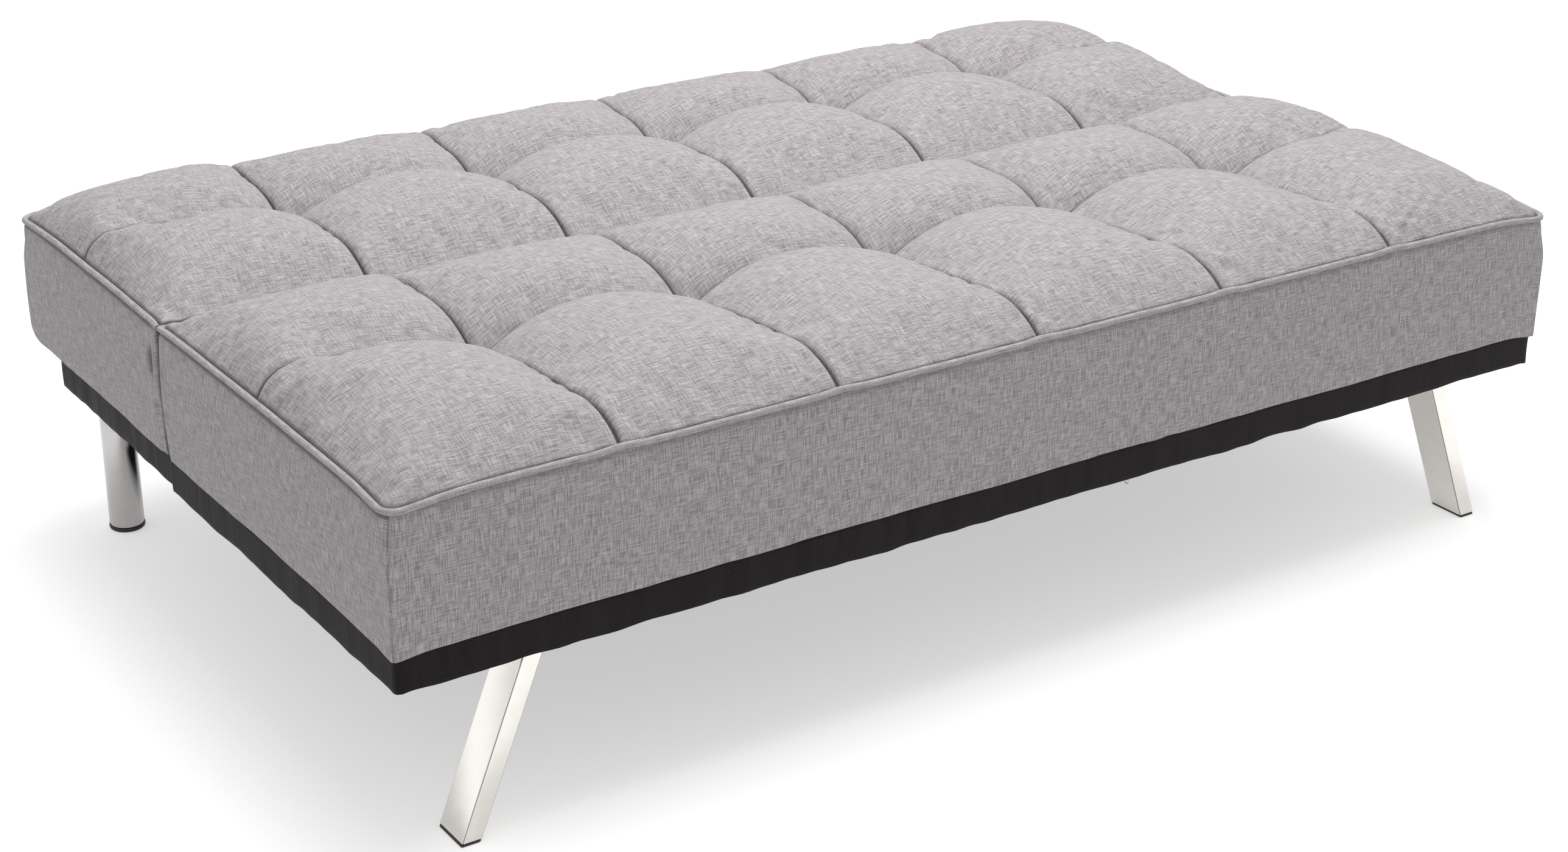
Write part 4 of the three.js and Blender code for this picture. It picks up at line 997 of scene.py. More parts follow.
def pocket(path, s, z, end):
    """Slack beside the fold: a slight bulge on the seat, a small pocket at the back's left end."""
    if path["seat"]:
        return 0.0018 * hump(end - 0.010, 0.010) * math.sin(math.pi * (z - BASE_TOP_Z) / 0.169)
    if s > path["length"] / 2:
        return 0.0
    lip = hump(end - 0.0115, 0.0042) * hump(z - POCKET_Z, 0.028, 4)
    slack = hump(end - 0.018 - 0.12 * (POCKET_Z - z), 0.009) * np.clip((z - 0.262) / 0.05, 0, 1)
    return (0.0011 * lip - 0.0016 * slit(z, end, 0.016) + 0.0020 * slack * (z < 0.345)
            - 0.0022 * hump(end - 0.012, 0.005) * (z < 0.33))


def side_darkness(path):
    """Painted shade under the piping, in the corner seams, at the fold and in the pocket's slit."""
    def crease(k, pairs):
        s, z = path["run"][k], pairs[:, 1]
        end = min(s, path["length"] - s)
        on_front = path["corners"][0] < s < path["corners"][1]
        seam = 0.4 * hump(corner_distance(path, k), 0.0011) + hump(end, 0.0050, 4)
        top = hump(z - z.max(), 0.0085, 8) * (0.25 if on_front else 0.8)
        pocketed = not path["seat"] and s < path["length"] / 2
        return np.clip(seam + top + (slit(z, end, 0.018) if pocketed else 0), 0, 1)
    return crease


def side_cover(name, seat):
    path = outline(seat, 0.002, 0.004, fine=0.0013, hold=0.035)
    piece = band(name, path, side_section(path), grey_linen, side_darkness(path), upright=True)
    points = np.array([v.co for v in piece.data.vertices])
    rise = np.clip((points[:, 2] - WELT_Z + CORNER_SAG[seat] + 0.060) / 0.052, 0, 1)
    drawn_to_arc(points, seat, rise * rise * (3 - 2 * rise))
    piece.data.vertices.foreach_set("co", points.ravel())
    print(name, "faces", len(piece.data.polygons))
    return piece


for half, body in (("seat", "base"), ("back", "backrest")):
    cover = side_cover(f"{half}_side_cover", half == "seat")
    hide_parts(f"{half}_side_panel")
    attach(cover, body)

# %% [markdown]
# ## Piping
# A cord wrapped in the same cloth is sewn between the top and the side. It follows a path, so Geometry
# Nodes sweep it: a line of points becomes a curve, a circle is carried along it, and two captured values,
# the length run and the share of the way round, become the UV map in metres. At the front corners the
# cord sags a little and takes the bend in a wider arc than the cloth below it.

# %% Piping as a swept curve
class Tree(Graph):
    def __init__(self, name, inputs):
        group = bpy.data.node_groups.new(name, "GeometryNodeTree")
        super().__init__(group)
        group.interface.new_socket("Geometry", in_out="INPUT", socket_type="NodeSocketGeometry")
        self.defaults = {}
        for label, value in inputs.items():
            kind = {float: "Float", int: "Int"}.get(type(value), "Material" if isinstance(
                value, bpy.types.Material) else "Object")
            socket = group.interface.new_socket(label, in_out="INPUT", socket_type="NodeSocket" + kind)
            self.defaults[socket.identifier] = value
        group.interface.new_socket("Geometry", in_out="OUTPUT", socket_type="NodeSocketGeometry")
        self.given = group.nodes.new("NodeGroupInput")

    def input(self, label):
        return Wire(self, self.given.outputs[label])

    def result(self, geometry):
        real = self.node("GeometryNodeRealizeInstances", None, {"Geometry": geometry})
        painted = self.node("GeometryNodeSetMaterial", None,
                            {"Geometry": real, "Material": self.input("Finish")})
        self.node("NodeGroupOutput", None, {"Geometry": painted})

    def made(self, name, points, edges=()):
        """A plain mesh made by this tree from points."""
        seed = bpy.data.meshes.new(name + " points")
        seed.from_pydata([tuple(map(float, p)) for p in points], [tuple(e) for e in edges], [])
        carrier = to_scene(name + " points", seed)
        grown = carrier.modifiers.new("tree", "NODES")
        grown.node_group = self.tree
        for identifier, value in self.defaults.items():
            grown[identifier] = value
        shape = modelled(carrier)
        bpy.data.objects.remove(carrier)
        shape.name = name
        return to_scene(name, shape)


def swept_cord(name, lines, radius, finish, sides=14, looped=False):
    """Round cords along lines of points, closed at their ends, with their own UV map in metres."""
    tree = Tree(name, {"Radius": radius, "Sides": sides, "Finish": finish})
    line = tree.node("GeometryNodeMeshToCurve", None, {"Mesh": tree.input("Geometry")})
    run = tree.node("GeometryNodeSplineParameter", out="Length")
    turn = tree.node("GeometryNodeSplineParameter", out="Factor")
    rail = tree.node("GeometryNodeCaptureAttribute", {"domain": "POINT"}, {"Geometry": line})
    rail.socket.node.capture_items.new("FLOAT", "run")
    tree.tree.links.new(run.socket, rail.socket.node.inputs["run"])
    circle = tree.node("GeometryNodeCurvePrimitiveCircle", {"mode": "RADIUS"},
                       {"Resolution": tree.input("Sides"), "Radius": tree.input("Radius")})
    ring = tree.node("GeometryNodeCaptureAttribute", {"domain": "POINT"}, {"Geometry": circle})
    ring.socket.node.capture_items.new("FLOAT", "turn")
    tree.tree.links.new(turn.socket, ring.socket.node.inputs["turn"])
    tube = tree.node("GeometryNodeCurveToMesh", None,
                     {"Curve": rail, "Profile Curve": ring, "Fill Caps": True})
    around = Wire(tree, ring.socket.node.outputs["turn"]) * tree.input("Radius") * (2 * math.pi)
    place = tree.node("ShaderNodeCombineXYZ", None,
                      {"X": Wire(tree, rail.socket.node.outputs["run"]), "Y": around})
    stored = tree.node("GeometryNodeStoreNamedAttribute", {"data_type": "FLOAT2", "domain": "CORNER"},
                       {"Geometry": tube, "Name": "weave", "Value": place})
    smooth = tree.node("GeometryNodeSetShadeSmooth", None, {"Geometry": stored})
    tree.result(smooth)
    points, edges = [], []
    for line in lines:
        first = len(points)
        points += list(line)
        edges += [(k, k + 1) for k in range(first, len(points) - 1)]
        if looped:
            edges.append((len(points) - 1, first))
    piece = tree.made(name, points, edges)
    facing_out(piece)
    return piece


HOOK, HOOK_DROP = 0.011, 0.0035
SLIM_RADIUS = 0.0038


def welt_line(seat):
    path = outline(seat, WELT_RADIUS, WELT_ARC)
    line = []
    for k, (x, y) in enumerate(path["at"]):
        s = path["run"][k]
        end = min(s, path["length"] - s)
        if seat and end < HOOK:
            continue
        pulled = hump(COLUMN_SEAMS[1:-1] - x, 0.022).sum() * (end > 0.5)
        z = WELT_Z - sag(corner_distance(path, k), seat) + 0.0014 * pulled
        z += 0.0009 * swing((s, 0.7 if seat else 2.9), 0.09, 4.0)
        out = 0.0006 * swing((s, 5.0), 0.07, 9.0) - 0.0016 * pulled
        if seat:
            out += 0.0026 * hump(end, 0.022)
        else:
            z -= 0.0030 * hump(end, 0.010)
        line.append((*(np.array((x, y)) + path["out"][k] * out), z))
    return hooked(line) if seat else line


def hooked(line):
    """Both ends of the piping turned in at the fold and tucked down."""
    for at, way in ((0, 1), (-1, -1)):
        x, y, z = line[at]
        hook = [(x + way * HOOK * (1 - math.cos(a)), y + HOOK * 0.6 * math.sin(a),
                 z - HOOK_DROP * (1 - math.cos(a))) for a in np.linspace(0, math.pi / 2, 9)[1:]]
        hook.append((hook[-1][0] + way * 0.010, hook[-1][1], hook[-1][2] - 0.004))
        line = hook[::-1] + line if at == 0 else line + hook
    return line


for half, body in (("seat", "base"), ("back", "backrest")):
    welt = swept_cord(f"{half}_welt", [welt_line(half == "seat")], SLIM_RADIUS, welt_linen)
    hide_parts(f"{half}_piping")
    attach(welt, body)
    print(welt.name, "faces", len(welt.data.polygons))

# %% [markdown]
# ## Black base covers
# A strip of black cloth is stapled round the base. It was pulled straight by hand, so it has upright
# creases, a lower edge that waves by a few millimetres, and a hem folded under the rails. The seat's
# strip stands a little proud of the one under the back and overlaps it at the fold. The rear strip is
# folded over the top of its rails too, because it shows there when the back stands up.

# %% Base covers
ZIP_LOW, ZIP_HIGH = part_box("zip_tape")
TOP_FOLD, STRIP, HEM = 0.040, 0.0645, 0.016
REAR_RAIL_Y = 0.460
HEM_WAVE, HEM_RIPPLE, CORNER_HANG = 0.0026, 0.0016, 0.0022


def skirt(name, seat):
    inset = 0.0062 if seat else 0.0122
    path = outline(seat, inset, 0.007 if seat else 0.004, spacing=0.009,
                   ends=-0.0006 if seat else -0.0045, drawn=0)
    if not seat:
        shorter = (REAR_RAIL_Y - FOLD_Y) / (REAR_Y - inset - FOLD_Y)
        path["at"][:, 1] = FOLD_Y + (path["at"][:, 1] - FOLD_Y) * shorter
    hem_z, head = BASE_FOOT_Z - 0.0014, BASE_TOP_Z - 0.0004

    def section(k):
        s, (x, y) = path["run"][k], path["at"][k]
        away = corner_distance(path, k)
        drop = HEM_WAVE * swing((s, 1.3 if seat else 7.7), 0.07, 3.0)
        drop += HEM_RIPPLE * swing((s, 4.4), 0.030, 1.0) - CORNER_HANG * hump(away, 0.012) * seat
        foot = BASE_FOOT_Z - 0.0020 + drop
        over_zip = seat and y < FRONT_Y + 0.01 and ZIP_LOW.x - 0.006 < x < ZIP_HIGH.x + 0.006
        hem = 0.0022 if over_zip else HEM
        outer = [(-hem, hem_z), (-hem * 0.45, min(foot + 0.0004, hem_z))]
        for h in np.linspace(0, 1, 9):
            z, belly = foot + (head - foot) * h, math.sin(math.pi * h)
            creased = 0.0004 * swing((s, z * 0.5), 0.034, 2.0) + 0.0012 * swing((s, z * 0.6), 0.10, 6.0)
            full = 0.0010 + creased + (0.0006 - 0.0014 * hump(away, 0.05) * seat) * belly
            outer.append((min(0.0030, max(-0.0003, full)), z))
        inner = [(a - 0.0011, z + 0.0010 if z < BASE_FOOT_Z + 0.001 else z) for a, z in outer[::-1]]
        if not seat:
            over = [(-a, BASE_TOP_Z + up)
                    for a, up in ((0.0008, 0.00022), (0.014, 0.00024), (TOP_FOLD, 0.00024))]
            outer += over + [(a, z - 0.0002) for a, z in over[:0:-1]]
        return outer + inner

    piece = band(name, path, section, black_satin)
    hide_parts("base_cover_front" if seat else "base_cover_rear")
    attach(piece, "base")


skirt("front_skirt", True)
skirt("rear_skirt", False)

# %% [markdown]
# ## Front legs
# Each front leg is a rectangular steel tube cut at an angle, so that it leans out to the floor, welded
# under a plate. Folded tube has rounded edges, and a thin dark line of reflection is painted along them.
# The tube is built as a skewed ring of corners with those arcs, hollow, and open at the foot where the
# glide plugs in.

# %% Front leg tubes, plates and glides
LEG_LEAN, LEG_TOP_Z = 0.084, 0.210
LEG_FOOT_X, LEG_WIDTH = {"left": -0.777, "right": 0.752}, 0.025


def circle(radius, z, sides, centre=(0.0, 0.0)):
    """Points round a level circle, at one height."""
    return [(centre[0] + radius * math.cos(a), centre[1] + radius * math.sin(a), z)
            for a in np.arange(sides) * 2 * math.pi / sides]


def rounded_rectangle(low, high, radius, inset=0.0, steps=5):
    """Points round a rectangle with rounded corners, drawn in on every side by the inset."""
    low_x, low_y = [v + inset + radius for v in low]
    high_x, high_y = [v - inset - radius for v in high]
    centres = ((high_x, high_y), (low_x, high_y), (low_x, low_y), (high_x, low_y))
    return [(cx + radius * math.cos(a), cy + radius * math.sin(a))
            for quarter, (cx, cy) in enumerate(centres)
            for a in (quarter + np.arange(steps + 1) / steps) * math.pi / 2]


def stacked(name, rings, finish, capped=True, smooth_angle=40, edge=None):
    """A body from rings of points of equal count, one above another, with its sharp edges kept."""
    crease = None if edge is None else edge(len(rings), len(rings[0]))
    piece = closed_piece(name, rings, finish, crease=crease, capped=capped)
    piece.data.set_sharp_from_angle(angle=math.radians(smooth_angle))
    return piece


def painted_edge_lines(rings, size, steps=5):
    """1 at the middle of each rounded corner outside, where a dark line of reflection is painted on the
    steel.
    """
    corner = [1.0 if k % (steps + 1) in (2, 3) else 0.0 for k in range(size)]
    return [0.0] * size * 3 + corner * (rings - 3)


def front_leg(side, label):
    low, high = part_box(f"front_leg_{label}")
    foot = ((LEG_FOOT_X[label], low.y), (LEG_FOOT_X[label] + LEG_WIDTH, high.y))

    def leaning(name, rings, finish, **more):
        """Rectangles of one radius, inset and height each, moved inwards as the leg leans."""
        return stacked(name, [[(x - side * LEG_LEAN * z / LEG_TOP_Z, y, z) for x, y in
                               rounded_rectangle(*foot, radius, inset)] for radius, inset, z in rings],
                       finish, **more)

    tube = leaning(f"front_leg_tube_{label}", (
        (0.0006, 0.0018, LEG_TOP_Z), (0.0006, 0.0018, low.z), (0.0022, 0.0003, low.z),
        (0.0022, 0, low.z + 0.0004), (0.0022, 0, 0.108), (0.0022, 0, LEG_TOP_Z)),
        chrome, capped=False, edge=painted_edge_lines)
    glide = leaning(f"front_leg_foot_{label}", (
        (0.0022, 0.0012, 0.0), (0.0024, 0.0004, 0.0010), (0.0024, 0.0004, 0.0036),
        (0.0006, 0.0022, 0.0039), (0.0006, 0.0022, 0.016)), black_plastic)
    return tube, glide


for side, label in SIDES:
    tube, glide = front_leg(side, label)
    for piece, solid, slot in ((tube, f"front_leg_{label}", "chrome"),
                               (glide, f"front_leg_glide_{label}", "black_plastic")):
        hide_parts(solid)
        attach(piece, "base")
print("front legs stand", LEG_TOP_Z, "m high")

# %% [markdown]
# ## Leg plates
# The plate above each front leg is cut from flat steel. Its corners are rounded and its edges are broken,
# so that the chrome shows a bright rim. Three hexagon bolts hold it, and Geometry Nodes set the same
# small bolt head at each of their places.

# %% Leg plates and their bolts
PLATE_FOOT_Z, PLATE_TOP_Z = 0.2103, 0.2137
BOLT_ROWS = (-0.4905, -0.4505)
BOLT_WIDTH, BOLT_HEIGHT, WASHER_RADIUS = 0.010, 0.0045, 0.0072


def bolt_head(name, finish):
    """A hexagon head with a rounded top over a thin washer, pointing down, its seat at z = 0."""
    rings = [circle(radius, z, 12) for radius, z in (
        (WASHER_RADIUS, 0), (WASHER_RADIUS, -0.0008), (BOLT_WIDTH * 0.62, -0.0009))]
    for grow, z in ((1.0, -0.001), (1.0, 0.0006 - BOLT_HEIGHT), (0.86, -BOLT_HEIGHT)):
        ring = np.array(circle(BOLT_WIDTH / 2 * grow, z, 12))
        ring[::2, :2] /= math.cos(math.pi / 6)
        rings.append(ring)
    head = stacked(name, rings, finish, smooth_angle=25)
    head.hide_render = True
    return head


def set_on_points(name, small, places, finish):
    """The same small piece at every place."""
    tree = Tree(name, {"Piece": small, "Finish": finish})
    shape = tree.node("GeometryNodeObjectInfo", {"transform_space": "ORIGINAL"},
                      {"Object": tree.input("Piece")}, out="Geometry")
    placed = tree.node("GeometryNodeInstanceOnPoints", None,
                       {"Points": tree.input("Geometry"), "Instance": shape})
    tree.result(placed)
    return tree.made(name, places)


small_bolt = bolt_head("bolt pattern", zinc_steel)
for side, label in SIDES:
    low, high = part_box(f"front_leg_plate_{label}")
    corners = ((low.x, low.y), (high.x, high.y))
    edge, broken = rounded_rectangle(*corners, 0.004), rounded_rectangle(*corners, 0.0038, 0.0005)
    plate = stacked(f"front_leg_mount_{label}", [
        [(x, y, z) for x, y in ring] for ring, z in (
            (broken, PLATE_FOOT_Z), (edge, PLATE_FOOT_Z + 0.0006),
            (edge, PLATE_TOP_Z - 0.0005), (broken, PLATE_TOP_Z))], chrome)
    inner_x = side * (0.777 - LEG_LEAN - LEG_WIDTH)
    places = [(inner_x - side * 0.011, y, PLATE_FOOT_Z) for y in BOLT_ROWS]
    places.append((inner_x + side * 0.014, BOLT_ROWS[1], PLATE_FOOT_Z))
    bolts = set_on_points(f"front_leg_bolts_{label}", small_bolt, places, zinc_steel)
    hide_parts(f"front_leg_plate_{label}")
    for piece, slot in ((plate, "chrome"), (bolts, "zinc_steel")):
        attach(piece, "base")
print("plate of", [round(v * 1000, 1) for v in high - low], "mm with its bolts")

# %% [markdown]
# ## Rear legs
# The rear legs are round chromed tubes. A turned profile spun round its axis gives them, with the small
# radius where the tube meets its cap, and the cap's rounded shoulder and sole.

# %% Rear leg tubes and caps
def turned(name, profile, centre, finish, sides=72):
    return stacked(name, [circle(radius, z, sides, centre) for radius, z in profile], finish)


for side, label in SIDES:
    low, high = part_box(f"rear_leg_{label}")
    centre = ((low.x + high.x) / 2, (low.y + high.y) / 2)
    tube = turned(f"rear_leg_tube_{label}", [
        (0.0212, low.z + 0.003), (0.0212, low.z), (0.0226, low.z), (0.0230, low.z + 0.0006),
        (0.0230, 0.11), (0.0230, high.z - 0.0008), (0.0224, high.z)], centre, shaded_rear_chrome)
    cap = turned(f"rear_leg_foot_{label}", [
        (0.0190, 0.0), (0.0218, 0.0005), (0.0234, 0.0020), (0.0239, 0.0040), (0.0239, 0.0058),
        (0.0235, 0.0068), (0.0228, 0.0070), (0.0209, 0.0071), (0.0209, 0.016)], centre, black_plastic)
    for piece, solid, slot in ((tube, f"rear_leg_{label}", "chrome"),
                               (cap, f"rear_leg_cap_{label}", "black_plastic")):
        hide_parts(solid)
        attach(piece, "base")
print("rear legs are", round((high.x - low.x) * 1000, 1), "mm across")

# %% [markdown]
# ## Flat cloths: the dust sheet and the back's lining
# Two flat cloths close the sofa where it is not seen at first. A thin black sheet is stapled under the
# base, and it sags a little between the rails. A grey lining is pulled over the underside of the back,
# which turns to face the room when the back stands up. Each is a closed sheet over a grid, with its own
# height below and above. The lining hollows slightly between the tubes that carry it.

# %% Sheets over a grid
def sheet_over(name, xs, ys, low, high, finish, width=lambda y: 1.0, dark=lambda x, y: 0.0):
    grid = [(x * width(y), y) for y in ys for x in xs]
    rows, columns = len(ys), len(xs)
    points = [(x, y, high(x, y)) for x, y in grid] + [(x, y, low(x, y)) for x, y in grid]
    faces = net_faces(rows, columns) + [face[::-1] for face in net_faces(rows, columns, rows * columns)]
    rim = [r * columns + c for r, c in rim_of(rows, columns)]
    below = [i + rows * columns for i in rim]
    faces += ring_faces(rim, below)
    piece = make_piece(name, points, faces, finish, grid * 2, [dark(x, y) for x, y in grid] * 2)
    facing_out(piece)
    return piece


def span(value, low, high):
    """0 at both ends of a span and outside it, 1 at its middle."""
    return math.sin(math.pi * min(1, max(0, (value - low) / (high - low))))


DUST_Z, DUST_HALF = 0.2149, 0.0004
FRONT_BAY, REAR_BAY = (-0.515, 0.043), (0.087, 0.412)
SIDE_BAY = (-0.78, 0.78)


def dust_middle(x, y):
    """Height of the dust sheet's middle: it sags in the two bays between its rails."""
    bays = span(y, *FRONT_BAY) + span(y, *REAR_BAY)
    hang = 0.0022 * bays * span(x, *SIDE_BAY) ** 0.7
    ripple = 0.0003 * swing((x, y), 0.05, 8.0) * bays
    return DUST_Z - hang * (1 + 0.25 * swing((x, y), 0.14, 2.2)) - ripple


dust_sheet = sheet_over(
    "base_dust_sheet", np.linspace(-1, 1, 121),
    [*np.linspace(-0.5355, 0.0640, 50), *np.linspace(0.0660, 0.4565, 34)],
    lambda x, y: dust_middle(x, y) - DUST_HALF, lambda x, y: dust_middle(x, y) + DUST_HALF, under_cloth,
    width=lambda y: 0.8405 if y < FOLD_Y else 0.8345)
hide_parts("dust_cover")
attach(dust_sheet, "base")

LINING_LOW, LINING_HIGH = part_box("back_underside_panel")


def lining_foot(x, y):
    """Height of the lining's outer face, hollowed between the tubes."""
    hollow = (span(x, -0.815, 0.815) * span(y, 0.121, 0.500)) ** 0.35
    return LINING_LOW.z + 0.0003 + 0.0024 * hollow + 0.0005 * (1 + swing((x, y), 0.10, 4.4)) * hollow


def lining_edge_shade(x, y):
    """Painted shade where the lining tucks in at its edge."""
    return 0.8 * hump(min(LINING_HIGH.x - abs(x), y - LINING_LOW.y, LINING_HIGH.y - y), 0.0014)


lining = sheet_over(
    "back_lining", np.linspace(LINING_LOW.x + 0.0008, LINING_HIGH.x - 0.0008, 141),
    np.linspace(LINING_LOW.y + 0.0006, LINING_HIGH.y - 0.0006, 61),
    lining_foot, lambda x, y: LINING_HIGH.z - 0.0002, grey_linen, dark=lining_edge_shade)
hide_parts("back_underside_panel")
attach(lining, "backrest")
print("dust sheet and lining:", len(dust_sheet.data.polygons), len(lining.data.polygons), "faces")

# %% [markdown]
# ## Felt over the springs
# A pad of pressed grey felt keeps the foam from the springs. It is cut with the same slots as the foam,
# so it starts as a copy of the engineering solid with its loose triangles merged. A Bevel softens the cut
# edges.

# %% Felt pads
def softened(name, solid, radius, finish):
    shape = bmesh.new()
    shape.from_mesh(frame["nodes"][solid].data)
    bmesh.ops.remove_doubles(shape, verts=shape.verts, dist=1e-5)
    bmesh.ops.dissolve_limit(shape, angle_limit=math.radians(1), verts=shape.verts, edges=shape.edges)
    sharp = [e for e in shape.edges if len(e.link_faces) == 2 and e.calc_face_angle() > 0.6]
    bmesh.ops.bevel(shape, geom=sharp, offset=radius, segments=3, profile=0.6, affect="EDGES")
    mesh = bpy.data.meshes.new(name)
    shape.to_mesh(mesh)
    shape.free()
    mesh.materials.clear()
    mesh.materials.append(finish)
    mesh.shade_smooth()
    piece = to_scene(name, mesh)
    facing_out(piece)
    return piece


for half, body in (("seat", "base"), ("back", "backrest")):
    pad = softened(f"{half}_felt", f"{half}_deck_pad", 0.0014, felt)
    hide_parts(f"{half}_deck_pad")
    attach(pad, body)
    print(pad.name, "faces", len(pad.data.polygons))

# %% [markdown]
# ## Springs
# Six wavy springs carry each felt, tied by two straight stay wires. A wire follows a line, so the tree
# that swept the piping sweeps them too: each spring is one line of points, straight at its hooks and
# waved between.

# %% Wavy springs and stay wires
SPRING_X, SPRING_REACH, SPRING_HOOK = 0.6914, 0.022, 0.018
STAY_X, STAY_DROP = 0.713, 0.0030


def spring_lines(low_y, high_y, middle_z, waves):
    lines = []
    for x in np.linspace(-SPRING_X, SPRING_X, 6):
        line = [(x, low_y, middle_z)]
        for t in np.linspace(0, 1, waves * 20 + 1):
            bend = math.tanh(2.0 * math.sin(2 * math.pi * waves * t)) / math.tanh(2.0)
            y = low_y + SPRING_HOOK + (high_y - low_y - 2 * SPRING_HOOK) * t
            line.append((x + SPRING_REACH * bend, y, middle_z))
        lines.append(line + [(x, high_y, middle_z)])
    return lines


for half, body, low_y, high_y, middle_z, waves in (
        ("seat", "base", -0.5077, 0.0087, 0.2943, 5), ("back", "backrest", 0.1213, 0.4995, 0.3011, 4)):
    waved = spring_lines(low_y, high_y, middle_z, waves)
    straight = [[(x, low_y + (high_y - low_y) * share, middle_z - STAY_DROP)
                 for x in np.linspace(-STAY_X, STAY_X, 9)] for share in (0.33, 0.67)]
    wires, stays = [swept_cord(f"{half}_{kind}_wires", lines, radius, spring_steel, sides=8)
                    for kind, lines, radius in (("spring", waved, 0.002), ("stay", straight, 0.00125))]
    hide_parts(f"{half}_springs")
    for piece in (wires, stays):
        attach(piece, body)
    print(wires.name, "faces", len(wires.data.polygons))

# %% [markdown]
# ## Zip under the front
# The dust sheet opens with a zip behind the front edge. Its black tape is a thin sheet, its coil is one
# small tooth that Geometry Nodes set every two millimetres, and its slider carries a wire ring that hangs
# from a bail and just shows under the cloth.

# %% Zip tape, coil, slider and ring
ZIP_Y = (ZIP_LOW.y + ZIP_HIGH.y) / 2
SLIDER_X, SLIDER_TOP_Z = 0.150, 0.2117
BAIL_TOP_Z, RING_Z, RING_RADIUS = 0.2094, 0.2041, 0.0034

tape = sheet_over(
    "zip_tape_cloth", np.linspace(ZIP_LOW.x + 0.0003, ZIP_HIGH.x - 0.0003, 160),
    np.linspace(ZIP_LOW.y, ZIP_HIGH.y, 7),
    lambda x, y: ZIP_LOW.z + 0.0001 + 0.00008 * swing((x, y), 0.02, 1.0),
    lambda x, y: ZIP_HIGH.z - 0.0001, black_satin)
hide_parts("zip_tape")
tooth = stacked("zip tooth pattern", [
    [(0.0008 * grow * math.cos(a), 0.0017 * grow * math.sin(a), z) for a in np.arange(8) * math.pi / 4]
    for grow, z in ((0.5, -0.0006), (0.95, -0.0003), (1.0, 0.0003))], black_plastic)
tooth.hide_render = True
coil = set_on_points("zip_coil", tooth, [
    (x, ZIP_Y + (0.0005 if k % 2 else -0.0005), ZIP_LOW.z - 0.0002)
    for k, x in enumerate(np.arange(ZIP_LOW.x + 0.003, ZIP_HIGH.x - 0.003, 0.0021))], black_plastic)

slider = stacked("zip_slider_body", [
    [(SLIDER_X + x, ZIP_Y + y, SLIDER_TOP_Z - down)
     for x, y in rounded_rectangle((-half_x, -half_y), (half_x, half_y), radius, steps=4)]
    for half_x, half_y, radius, down in (
        (0.0041, 0.0036, 0.0013, 0), (0.0045, 0.0040, 0.0015, 0.0002), (0.0044, 0.0039, 0.0015, 0.0008),
        (0.0022, 0.0017, 0.0008, 0.0010), (0.0022, 0.0017, 0.0008, 0.0016),
        (0.0043, 0.0036, 0.0015, 0.0018), (0.0044, 0.0037, 0.0015, 0.0023),
        (0.0040, 0.0033, 0.0013, 0.0026))], zinc_steel)
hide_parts("zip_slider")
bail = swept_cord("zip_slider_bail", [[
    (SLIDER_X + 0.0026 * math.sin(a), ZIP_Y, BAIL_TOP_Z - 0.0033 * max(0, math.cos(a)) ** 0.6)
    for a in np.linspace(-math.pi / 2, math.pi / 2, 17)]], 0.0005, zinc_steel, sides=10)
ring = swept_cord("zip_ring", [[
    (SLIDER_X, ZIP_Y + RING_RADIUS * math.sin(a), RING_Z + RING_RADIUS * math.cos(a))
    for a in np.arange(48) * math.pi / 24]], 0.0006, zinc_steel, sides=12, looped=True)
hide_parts("zip_pull")
for piece, body in ((tape, "base"), (coil, "base"), (slider, "slider"), (bail, "slider"),
                    (ring, "ring_pull")):
    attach(piece, body)
print("zip teeth faces:", len(coil.data.polygons))

# %% [markdown]
# ## Studio
# The light is plain: a large soft lamp above and a little to the right, and a pale world that fills the
# sides. The world and the floor look white to the camera and in the chrome, while the floor keeps the
# soft shadow under the bed. Only the chrome sees a dark patch of floor there, as it would see the shadow.

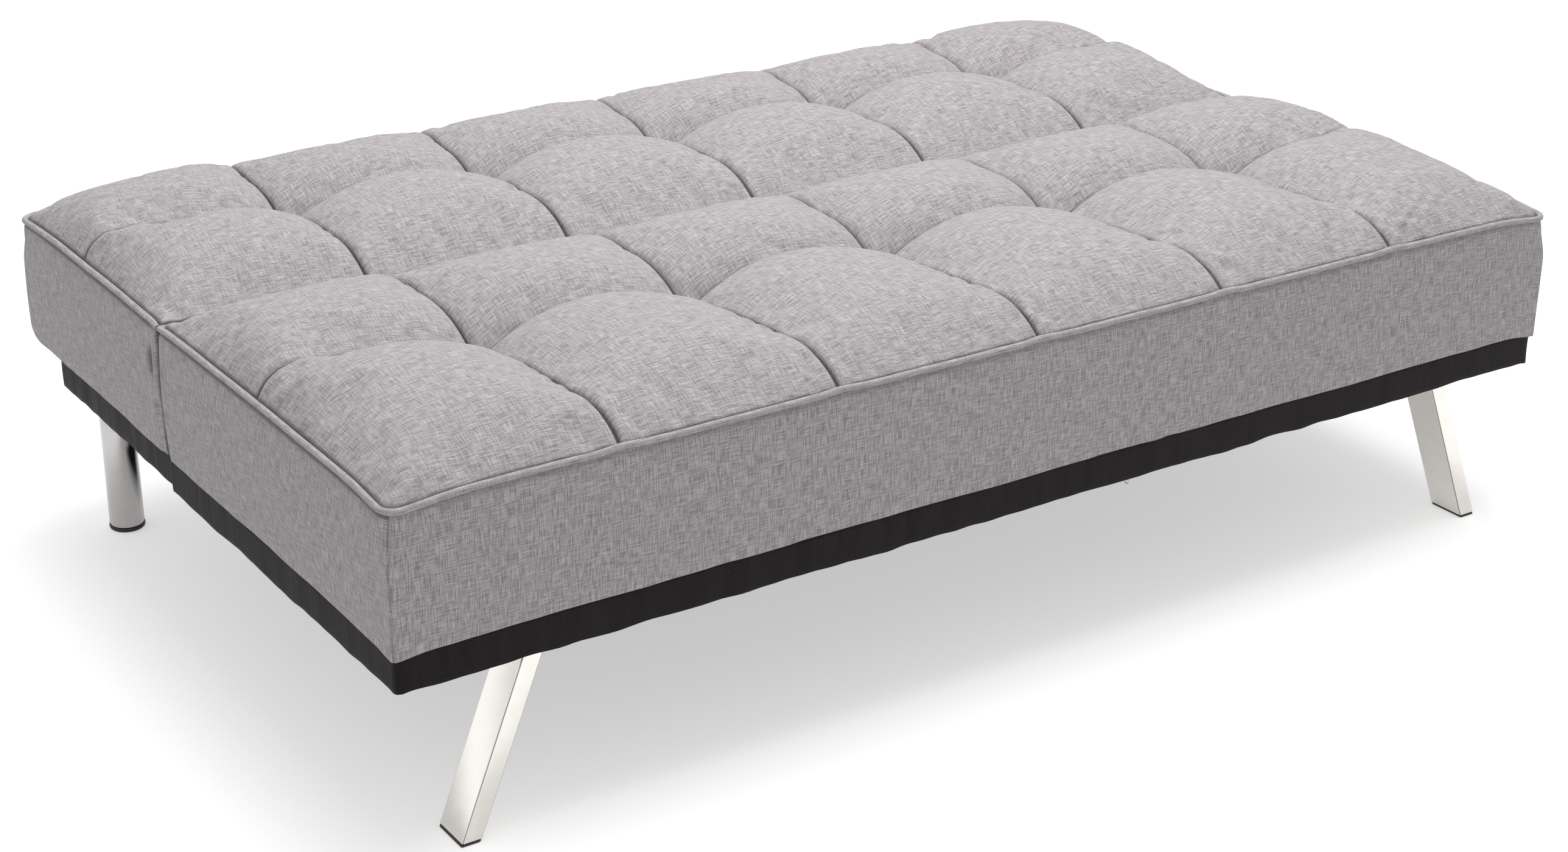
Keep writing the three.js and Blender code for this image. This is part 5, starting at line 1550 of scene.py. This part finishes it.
# %% Floor, world and lamp
def pale_floor():
    f = Finish("pale floor")
    path = f.node("ShaderNodeLightPath")
    seen = [Wire(f, path.socket.node.outputs[n]) for n in ("Is Camera Ray", "Is Glossy Ray")]
    drift = f.speckle(f.place, scale=0.8, detail=2)
    pale = f.mixed(drift, (0.86, 0.86, 0.86), (0.88, 0.88, 0.88))
    x, y = [f.node("ShaderNodeSeparateXYZ", None, {"Vector": f.place}, out=k) for k in (0, 1)]
    # Painted shadow seen only in the chrome: under the bed the floor turns dark for glossy rays.
    inside = (f.between(x * x, 0.38, 0.52, 1, 0)
              * f.between(y, 0.02, 0.14) * f.between(y, 0.40, 0.50, 1, 0))
    base = f.node("ShaderNodeBsdfDiffuse", None, {
        "Color": f.mixed(seen[1] * inside, pale, (0.06, 0.06, 0.06))})
    glow = f.node("ShaderNodeEmission", None, {
        "Color": (1, 1, 1, 1), "Strength": seen[0] * 0.5 + seen[1] * (1 - inside) * 0.4})
    both = f.node("ShaderNodeAddShader", None, {0: base, 1: glow})
    f.node("ShaderNodeOutputMaterial", None, {"Surface": both})
    return f.material


FAR = 60
floor = make_piece("studio floor", [(-FAR, -FAR, 0), (FAR, -FAR, 0), (FAR, FAR, 0), (-FAR, FAR, 0)],
                   [(0, 1, 2, 3)], pale_floor())

WORLD_FILL = 0.48
world = bpy.data.worlds.new("studio")
world.use_nodes = True
bpy.context.scene.world = world
sky = Graph(world.node_tree)
outputs = sky.node("ShaderNodeLightPath").socket.node.outputs
rays = [Wire(sky, outputs[f"Is {kind} Ray"]) for kind in ("Camera", "Glossy", "Transmission")]
plain, white = [sky.node("ShaderNodeBackground", None, {"Color": (1, 1, 1, 1), "Strength": strength})
                for strength in (WORLD_FILL, 1.0)]
mix = sky.node("ShaderNodeMixShader", None, {0: rays[0] + rays[1] + rays[2], 1: plain, 2: white})
sky.node("ShaderNodeOutputWorld", None, {"Surface": mix})


def lamp(name, place, aim, size, power):
    data = bpy.data.lights.new(name, "AREA")
    data.shape, data.size, data.energy = "SQUARE", size, power
    light = to_scene(name, data)
    light.location = place
    light.rotation_euler = (Vector(aim) - Vector(place)).to_track_quat("-Z", "Y").to_euler()


lamp("soft lamp above", place=(0.35, 0.15, 3.5), aim=(0, 0, 0.3), size=2.6, power=90)

# %% [markdown]
# ## Finish
# The last cell removes the pattern pieces that the trees copied, and hands the scene
# over.

# %% Finish
for helper in [o for o in bpy.data.objects if o.name.endswith("pattern")]:
    bpy.data.objects.remove(helper)
